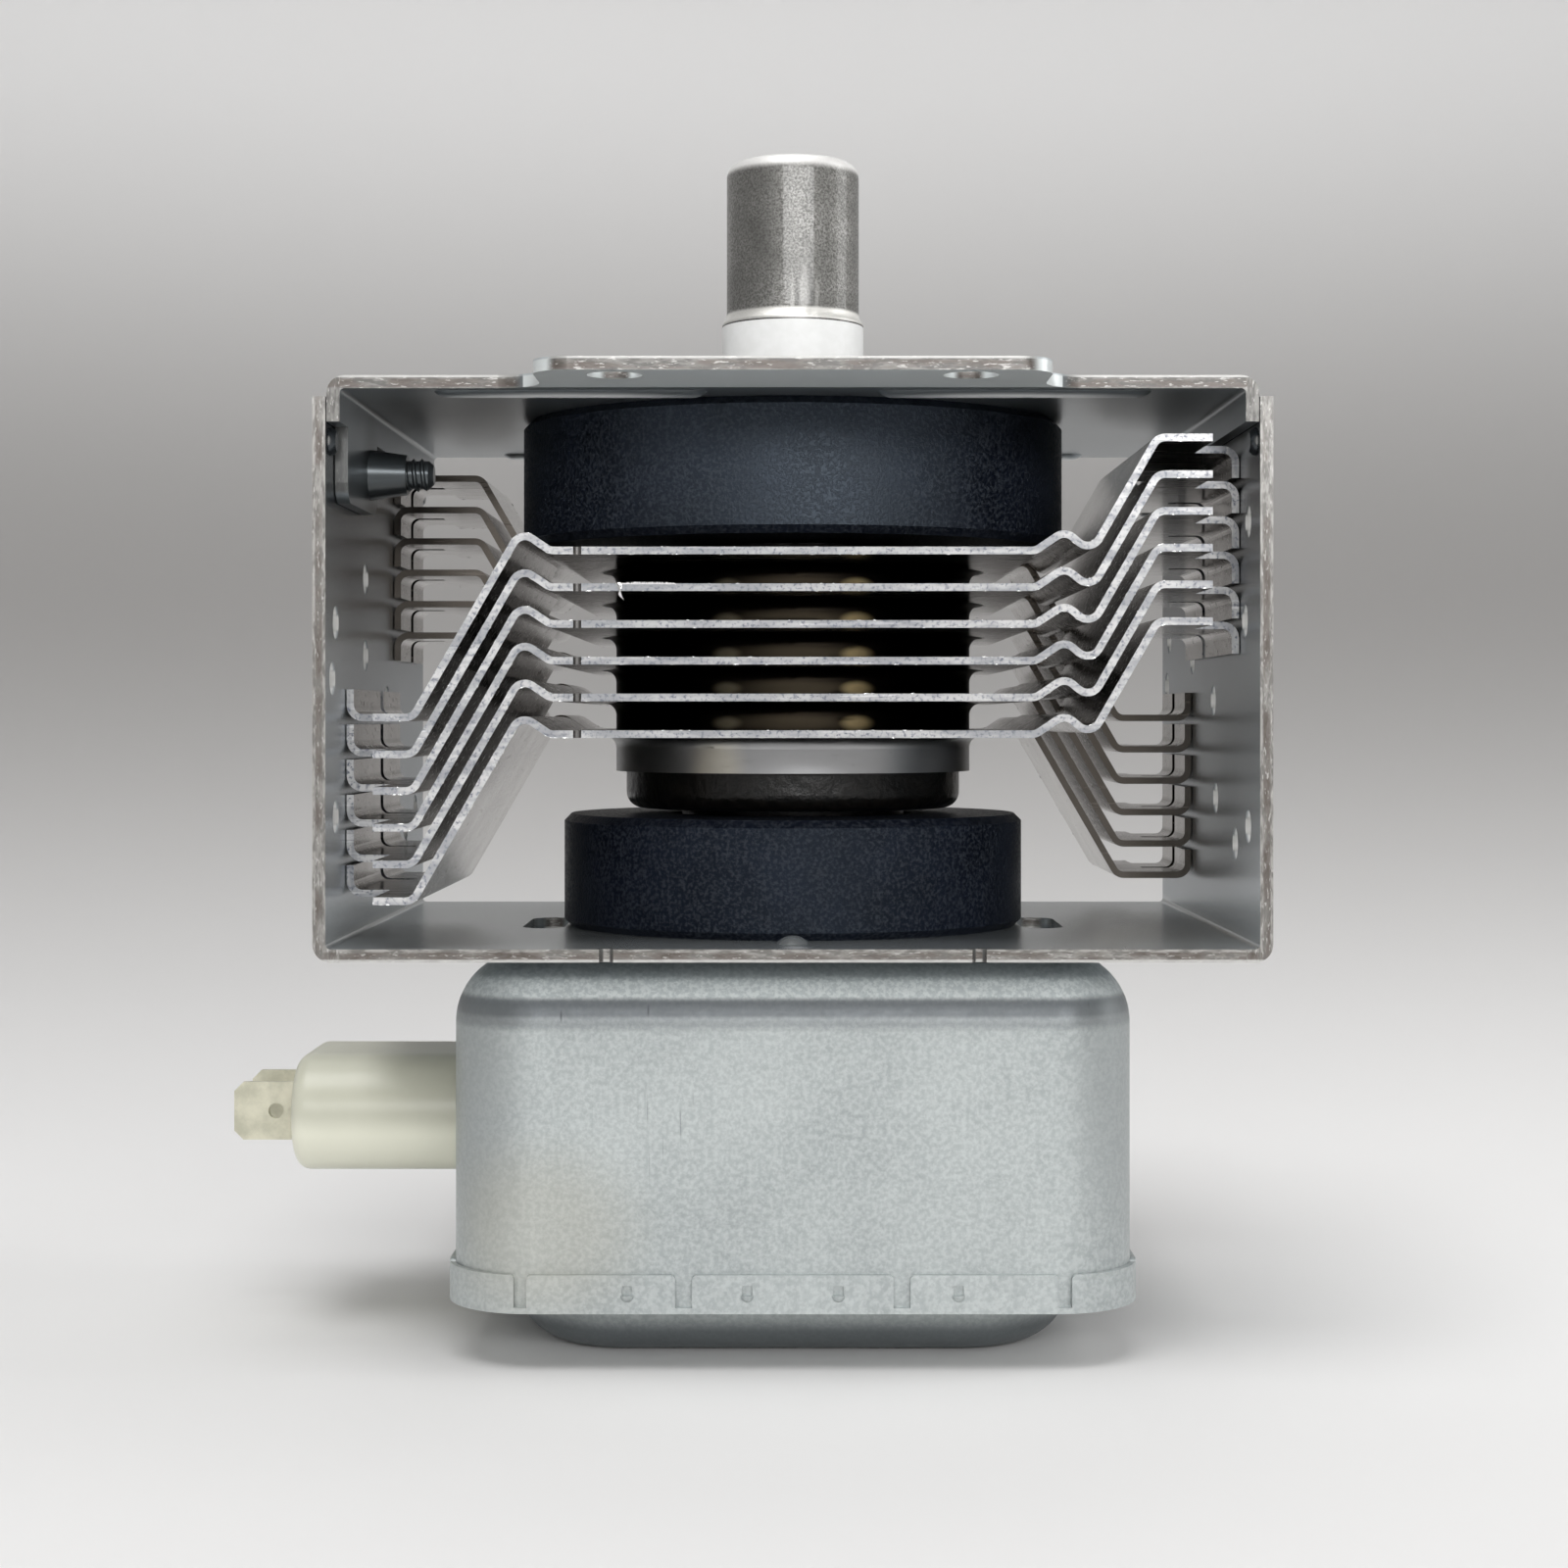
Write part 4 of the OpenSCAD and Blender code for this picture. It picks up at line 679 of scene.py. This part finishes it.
cathode_metal = mottled("cathode metal", (0.22, 0.22, 0.23), (0.33, 0.33, 0.34), 1.0, 0.5, 800.0)
mesh_steel = mottled("mesh steel", (0.48, 0.47, 0.44), (0.66, 0.65, 0.62), 1.0, 0.32, 900.0)
print("made", len(bpy.data.materials), "materials so far")

# %% Material: ivory resin
resin, tree, shader, coords = start_material("ivory resin", (0.66, 0.66, 0.55), 0.0, 0.33)
block_lo, block_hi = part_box("capacitor_block")
block_h = block_hi[2] - block_lo[2]
# The bottom of the block is painted paler: painted light bounced up from below.
painted_bounce_light = band_at(tree, coords, block_lo[2] + 0.12 * block_h, 0.36 * block_h)
smudge = spot_at(tree, coords, (-47.0, -9.0, -84.5), (1.2, 4.0, 0.8))
tone = lay_over(tree, (0.55, 0.55, 0.45), (0.62, 0.62, 0.515), mottle_at(tree, coords, 60.0, 0.3, 0.7))
tone = lay_over(tree, tone, (0.90, 0.90, 0.76), painted_bounce_light, 0.8)
tone = lay_over(tree, tone, (0.30, 0.29, 0.24), smudge, 0.3)
connect(tree, shader, Base_Color=tone)
print("made", len(bpy.data.materials), "materials in all")

# %% [markdown]
# ## Dressing the CAD pieces
# A CAD piece keeps its mesh and gets a finish: the table says which pieces share one.

# %% Dress the nodes
finish_of = {
    plate_zinc: ["yoke_plate", "yoke_screws"],
    frame_zinc: ["yoke_frame"],
    box_zinc: ["filter_box", "filter_lid"],
    fin_metal: ["fin_%d" % number for number in range(1, 7)],
    ferrite: ["upper_magnet"],
    shade_darkened_ferrite: ["lower_magnet", "choke_core_front", "choke_core_rear"],
    cap_steel: ["antenna_cap"],
    alumina: ["antenna_insulator", "stem_insulator"],
    resin: ["capacitor_block"],
    lacquer: ["upper_seal", "lower_seal"],
    tin: ["terminal_front", "terminal_rear", "capacitor_plate"],
    copper: ["anode_cylinder", "anode_vanes", "strap_rings", "exhaust_tube", "antenna_rod"],
    wire_enamel: ["choke_coil_front", "choke_coil_rear"],
    soft_iron: ["upper_pole_piece", "lower_pole_piece"],
    cathode_metal: ["filament", "upper_end_hat", "lower_end_hat", "centre_lead", "side_lead"],
    mesh_steel: ["rf_gasket"],
}
for material, names in finish_of.items():
    for name in names:
        nodes[name].data.materials.clear()
        nodes[name].data.materials.append(material)
print("dressed", sum(map(len, finish_of.values())), "of", len(nodes), "pieces")

# %% [markdown]
# ## New pieces from arrays
# Small additions are computed as whole arrays. A tube is a profile circle carried along a path:
# point = path + r (u cos a + v sin a), where u and v are two directions square to the path.


# %% Mesh from arrays
def make_piece(name, points, faces, material, smooth=True):
    """A mesh object at the origin, from (n, 3) points and (m, 3 or 4) faces, riding on the fixed body."""
    mesh = bpy.data.meshes.new(name)
    mesh.from_pydata(np.asarray(points, float).tolist(), [], np.asarray(faces, int).tolist())
    mesh.polygons.foreach_set("use_smooth", np.full(len(mesh.polygons), smooth))
    mesh.materials.append(material)
    mesh.validate()
    piece = bpy.data.objects.new(name, mesh)
    bpy.context.scene.collection.objects.link(piece)
    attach(piece, "root")
    print(name, len(points), "points,", len(faces), "faces")
    return piece


def grid_faces(rows, columns, wrap_rows=False, wrap_columns=False):
    """Quads of a rows by columns grid of points, closed round either way if asked."""
    r = np.arange(rows if wrap_rows else rows - 1)[:, None]
    c = np.arange(columns if wrap_columns else columns - 1)[None, :]
    corners = [(r, c), (r, c + 1), (r + 1, c + 1), (r + 1, c)]
    return np.stack([(a % rows) * columns + b % columns for a, b in corners], -1).reshape(-1, 4)


print("mesh helpers ready")

# %% [markdown]
# ## Screw threads
# The two self-tapping screws show their threads where they leave the drawn bosses. A thread is a
# ridge: a small triangle carried along a helix, radius = shank + height of the triangle, and the
# place along the screw grows evenly with the angle. The rear screw is the front one turned half round.

# %% Screw threads
screw_lo, screw_hi = (np.array(corner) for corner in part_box("yoke_screws"))
head_h = 2.0 * MM
head_x = screw_lo[0] + head_h
shank_r, thread_h, thread_pitch = 1.5 * MM, 0.28 * MM, 0.9 * MM
thread_from, thread_to = 1.6 * MM, 8.9 * MM
screw_y, screw_z = -15.0 * MM, (screw_lo[2] + screw_hi[2]) / 2
turns = (thread_to - thread_from) / thread_pitch
steps_per_turn = 40
angle = np.linspace(0.0, 2 * np.pi * turns, int(steps_per_turn * turns))[:, None]
fade = np.clip(np.minimum(angle, angle[::-1]) / np.pi, 0.0, 1.0)
profile_r = np.array([-0.25, 1.0, -0.25, -0.6])[None, :] * thread_h
profile_x = np.array([-0.36, 0.0, 0.36, 0.0])[None, :] * thread_pitch
radius = shank_r + profile_r * fade
thread = np.stack(
    [
        head_x + thread_from + angle / (2 * np.pi) * thread_pitch + profile_x,
        screw_y + radius * np.cos(angle),
        screw_z + radius * np.sin(angle),
    ],
    -1,
).reshape(-1, 3)
front_faces = grid_faces(len(angle), 4, wrap_columns=True)
thread_points = np.concatenate([thread, thread * (-1, -1, 1)])
thread_faces = np.concatenate([front_faces, front_faces + len(thread)])
make_piece("screw_threads", thread_points, thread_faces, plate_zinc)

# %% [markdown]
# ## Knitted gasket
# The ring round the antenna is a rope of knitted wire that closes the gap to the oven. It is made
# of two families of fine wires wound over the ring's rounded section, one each way. Each wire is a
# tube along the curve: section angle grows with ring angle times a slope, and a small wave lifts
# every second crossing so that the wires weave.

# %% Gasket wires
gasket_lo, gasket_hi = (np.array(corner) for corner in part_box("rf_gasket"))
gasket_h = gasket_hi[2] - gasket_lo[2]
ring_w = 4.6 * MM
ring_r = gasket_hi[0] - ring_w / 2
wire_r = 0.13 * MM
wire_count, wire_steps, wire_sides = 44, 150, 5
sweep_share, crossings, squash = 1 / 6.0, 6, 0.7


def gasket_wires(way):
    """Wires wound one way: (r, z) runs round a squashed circle while the ring angle sweeps its share."""
    start = np.arange(wire_count)[:, None] * 2 * np.pi / wire_count
    t = np.linspace(0.0, 2 * np.pi, wire_steps)[None, :]
    ring = start + way * t * sweep_share
    weave = wire_r * way * np.cos(crossings * (t + way * start))
    half_w, half_h = ring_w / 2 - 2 * wire_r + weave, gasket_h / 2 - 2 * wire_r + weave
    radius = ring_r + np.sign(np.cos(t)) * np.abs(np.cos(t)) ** squash * half_w
    up = gasket_h / 2 + np.sign(np.sin(t)) * np.abs(np.sin(t)) ** squash * half_h
    return np.stack([radius * np.cos(ring), radius * np.sin(ring), up + 0 * ring], -1)


def tube_points(paths, r, sides):
    """Rings of points round each path: side is square to the path and to a slanted line, out to both."""
    along = np.gradient(paths, axis=-2)
    along /= np.linalg.norm(along, axis=-1, keepdims=True)
    side = np.cross(along, np.array([0.3, 0.2, 0.93]))
    side /= np.linalg.norm(side, axis=-1, keepdims=True)
    out = np.cross(along, side)
    a = np.arange(sides) * 2 * np.pi / sides
    circle = side[..., None, :] * np.cos(a)[:, None] + out[..., None, :] * np.sin(a)[:, None]
    return paths[..., None, :] + r * circle


paths = np.concatenate([gasket_wires(1), gasket_wires(-1)])
wires = tube_points(paths, wire_r, wire_sides)
one_wire = grid_faces(wire_steps, wire_sides, wrap_columns=True)
offsets = np.arange(len(paths))[:, None, None] * wire_steps * wire_sides
all_wires = (one_wire[None] + offsets).reshape(-1, 4)
gasket = make_piece("gasket_mesh", wires.reshape(-1, 3), all_wires, mesh_steel)
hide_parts("rf_gasket")

# %% [markdown]
# ## Burrs of the fins
# Shearing leaves a ragged bright burr along the front and rear edges of each fin. The edges are
# found on the CAD mesh itself: among the triangles that face forwards, an edge used only once lies
# on the outline. Small pyramids of random size are scattered along those edges, more or less at
# even spacing, from a seeded generator so that every run gives the same burrs.


# %% Fin burrs
def outline_edges(node, facing):
    """Start and end points of the outline of a node's faces at its front (-1) or rear (1) end."""
    mesh = nodes[node].data
    points = np.empty(len(mesh.vertices) * 3)
    mesh.vertices.foreach_get("co", points)
    points = points.reshape(-1, 3)
    mesh.calc_loop_triangles()
    triangles = np.empty(len(mesh.loop_triangles) * 3, int)
    mesh.loop_triangles.foreach_get("vertices", triangles)
    places, index = np.unique(np.round(points, 7), axis=0, return_inverse=True)
    triangles = index.ravel()[triangles.reshape(-1, 3)]
    end = places[:, 1].min() if facing < 0 else places[:, 1].max()
    flat = triangles[np.all(np.abs(places[triangles][:, :, 1] - end) < 1e-6, axis=1)]
    edges = np.sort(np.concatenate([flat[:, [0, 1]], flat[:, [1, 2]], flat[:, [2, 0]]]), axis=1)
    kept, uses = np.unique(edges, axis=0, return_counts=True)
    kept = kept[uses == 1]
    return places[kept[:, 0]], places[kept[:, 1]]


def burr_pyramids(starts, ends, count, facing, rng):
    """Pyramids on edges: a base along the edge, an apex pushed out of the end face by a random height."""
    lengths = np.linalg.norm(ends - starts, axis=1)
    pick = rng.choice(len(starts), count, p=lengths / lengths.sum())
    along = (ends - starts)[pick] / lengths[pick][:, None]
    centre = starts[pick] + (ends - starts)[pick] * rng.random((count, 1))
    half = rng.uniform(0.06, 0.5, (count, 1)) ** 1.5 * MM
    high = rng.uniform(0.02, 0.07, (count, 1)) * MM
    out = np.array([0.0, facing, 0.0])
    across = np.cross(along, out) * rng.uniform(0.02, 0.07, (count, 1)) * MM
    along = along * half
    corners = [centre - along, centre + across, centre + along, centre - across, centre + out * high]
    return np.stack(corners, axis=1).reshape(-1, 3)


rng = np.random.default_rng(7)
burr_count = 110
burrs = [
    burr_pyramids(*outline_edges(fin, facing), burr_count, facing, rng)
    for fin in finish_of[fin_metal]
    for facing in (-1, 1)
]
burr_points = np.concatenate(burrs)
pyramid = np.array([(0, 1, 4), (1, 2, 4), (2, 3, 4), (3, 0, 4), (0, 3, 2), (0, 2, 1)])
burr_faces = (pyramid[None] + np.arange(len(burr_points) // 5)[:, None, None] * 5).reshape(-1, 3)
burr_metal = mottled("burr metal", (0.85, 0.85, 0.85), (0.98, 0.98, 0.98), 0.9, 0.25, 900.0)
make_piece("fin_burrs", burr_points, burr_faces, burr_metal, smooth=False)

# %% [markdown]
# ## A chip and a flake
# One curl of metal still hangs from the front edge of the second fin, and a torn flake runs along
# its top for a few millimetres. The curl is a ribbon: its place along the path is t, it falls by
# t times its drop, swings out as a half sine and narrows towards its end. The flake is a strip whose
# upper rim is ragged: height = a smooth rise and fall times a random share.

# %% Chip and flake
front_y, level_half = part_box("fin_2")[0][1], 22.5 * MM
front_rim = np.concatenate(outline_edges("fin_2", -1))
level_rim = front_rim[np.abs(front_rim[:, 0]) < level_half][:, 2]
level_z, fin_t = (level_rim.min() + level_rim.max()) / 2, np.ptp(level_rim)
print("fin 2 lies level at", round(level_z / MM, 2), "mm and is", round(fin_t / MM, 2), "mm thick")
curl_steps, curl_foot, curl_drop, curl_w = 24, -17.35 * MM, 1.75 * MM, 0.20 * MM
t = np.linspace(0.0, 1.0, curl_steps)[:, None]
curl_x = curl_foot + 0.55 * MM * t + 0.12 * MM * np.sin(7.0 * t)
curl_y = front_y - 0.04 * MM - 0.3 * MM * np.sin(np.pi * t) * (1 - 0.3 * t)
curl_z = level_z + 0.45 * MM - curl_drop * t
half_w = curl_w * (1.0 - 0.75 * t) * (1.0 + 0.35 * np.sin(11.0 * t))
across = np.array([[-1.0, 0.0, 1.0, 0.0]]) * half_w
thick = np.array([[0.0, -0.05, 0.0, 0.05]]) * MM
curl = np.stack([curl_x + across, curl_y + thick, curl_z + 0.25 * across], -1).reshape(-1, 3)
flake_steps, flake_from, flake_l, flake_h = 60, -17.2 * MM, 5.6 * MM, 0.22 * MM
flake_t = np.linspace(0.0, 1.0, flake_steps)
ragged = rng.uniform(0.15, 1.0, flake_steps) * np.sin(np.pi * flake_t) ** 0.4 * flake_h
foot_y, foot_z = front_y - 0.02 * MM, level_z + fin_t / 2 - 0.08 * MM
foot = np.stack([flake_from + flake_l * flake_t, foot_y + 0 * flake_t, foot_z + 0 * flake_t], -1)
crest = foot + np.stack([0 * flake_t, -0.4 * ragged, 0.06 * MM + ragged], -1)
flake = np.stack([foot, crest], axis=1).reshape(-1, 3)
curl_faces = grid_faces(curl_steps, 4, wrap_columns=True)
chip_points = np.concatenate([curl, flake])
chip_faces = np.concatenate([curl_faces, grid_faces(flake_steps, 2) + len(curl)])
make_piece("fin_chip", chip_points, chip_faces, burr_metal, smooth=False)

# %% [markdown]
# ## Stage
# The portrait stands in a wide shallow bowl of paper, so there is no horizon from any side: a flat
# round floor, a quarter circle and an upright wall, turned about the antenna axis. The paper is
# pale near the part, greyer at the height of its windows, so that bright metal edges stand out
# against it, and pale again above.

# %% Paper bowl
floor_z = cad_box[0][2]
floor_r, bend_r, wall_h = 0.20, 1.30, 2.0
bend_steps, bowl_sides = 60, 128
bend = np.linspace(-np.pi / 2, 0.0, bend_steps)
profile_r = np.concatenate([[0.0], floor_r + bend_r * np.cos(bend), [floor_r + bend_r]])
profile_z = floor_z + np.concatenate([[0.0], bend_r + bend_r * np.sin(bend), [wall_h]])
around = np.linspace(0.0, 2 * np.pi, bowl_sides, endpoint=False)[:, None]
bowl_points = np.stack(
    [profile_r * np.cos(around), profile_r * np.sin(around), profile_z + 0 * around], -1
).reshape(-1, 3)
bowl_mesh = bpy.data.meshes.new("paper_bowl")
bowl_faces = grid_faces(len(around), len(profile_r), wrap_rows=True)[:, ::-1]
bowl_mesh.from_pydata(bowl_points.tolist(), [], bowl_faces.tolist())
bowl_mesh.polygons.foreach_set("use_smooth", np.full(len(bowl_mesh.polygons), True))
bowl = bpy.data.objects.new("paper_bowl", bowl_mesh)
bpy.context.scene.collection.objects.link(bowl)
near_paper, far_paper, high_paper = (0.78, 0.775, 0.77), (0.36, 0.351, 0.344), (0.95, 0.945, 0.94)
paper, tree, shader, coords = start_material("pale paper", near_paper, 0.0, 0.9, Specular_IOR_Level=0.0)
far = soft_step(tree, on_vectors(tree, "LENGTH", coords), 0.16, 0.75)
high = soft_step(tree, split(tree, coords)["Z"], 0.0, 0.36)
shade = lay_over(tree, near_paper, far_paper, far)
connect(tree, shader, Base_Color=lay_over(tree, shade, high_paper, high))
bowl_mesh.materials.append(paper)
print("paper bowl at", round(floor_z, 4), "m,", len(bowl_faces), "faces")

# %% [markdown]
# ## Light
# Metal shows what it reflects. A wide soft light behind the lens brightens what faces the viewer, one
# above brightens the tops, a weaker one above and behind lights the paper, and a tall narrow one on
# the right gives that side its edge. The left stays darker, which models the round pieces.


# %% Lights and surroundings
def soft_light(name, place, aim, width, height, watts):
    """A rectangular area light at a place, turned towards aim."""
    data = bpy.data.lights.new(name, "AREA")
    data.shape = "RECTANGLE"
    data.size = width
    data.size_y = height
    data.energy = watts
    lamp = bpy.data.objects.new(name, data)
    bpy.context.scene.collection.objects.link(lamp)
    way = np.array(aim) - np.array(place)
    lamp.location = place
    tilt = math.atan2(np.hypot(way[0], way[1]), -way[2])
    lamp.rotation_euler = (tilt, 0.0, math.atan2(way[1], way[0]) - math.pi / 2)


middle = (0.0, 0.0, -0.035)
soft_light("key_front", (0.16, -0.90, 0.10), middle, 0.9, 0.4, 9.0)
soft_light("above_front", (-0.10, -0.35, 0.90), middle, 0.6, 0.6, 6.6)
soft_light("above_rear", (0.0, 0.45, 0.95), (0.0, 0.9, 0.1), 0.7, 0.7, 2.7)
soft_light("side_right", (0.68, 0.05, 0.30), middle, 0.32, 0.6, 1.7)
world = bpy.data.worlds.new("dim room")
bpy.context.scene.world = world
world.use_nodes = True
room = world.node_tree.nodes["Background"].inputs
room["Color"].default_value = (0.9, 0.92, 0.95, 1.0)
room["Strength"].default_value = 0.05
bpy.context.scene.view_settings.view_transform = "Standard"
print("four area lights and a dim room")

# %% [markdown]
# ## Camera
# The photograph looks level along Y, at the height of the fifth fin, from 300 mm before the antenna
# axis. The lens follows from the picture's 2730 pixel focal length on a 1600 pixel frame, and the
# shift from where the picture's lines converge.

# %% Camera
picture, focal_px, vanish_x, vanish_y = 1600.0, 2730.0, 809.0, 735.0
eye, sensor = (0.0, -0.300, -0.0342), 36.0
camera_data = bpy.data.cameras.new("photo_view")
camera_data.sensor_width = sensor
camera_data.lens = sensor * focal_px / picture
camera_data.shift_x = (picture / 2 - vanish_x) / picture
camera_data.shift_y = -(picture / 2 - vanish_y) / picture
camera_data.clip_start = 0.01
camera = bpy.data.objects.new("photo_view", camera_data)
camera.location = eye
camera.rotation_euler = (math.pi / 2, 0.0, 0.0)
bpy.context.scene.collection.objects.link(camera)
bpy.context.scene.camera = camera
print("camera at", eye, "lens", round(camera_data.lens, 2), "mm")
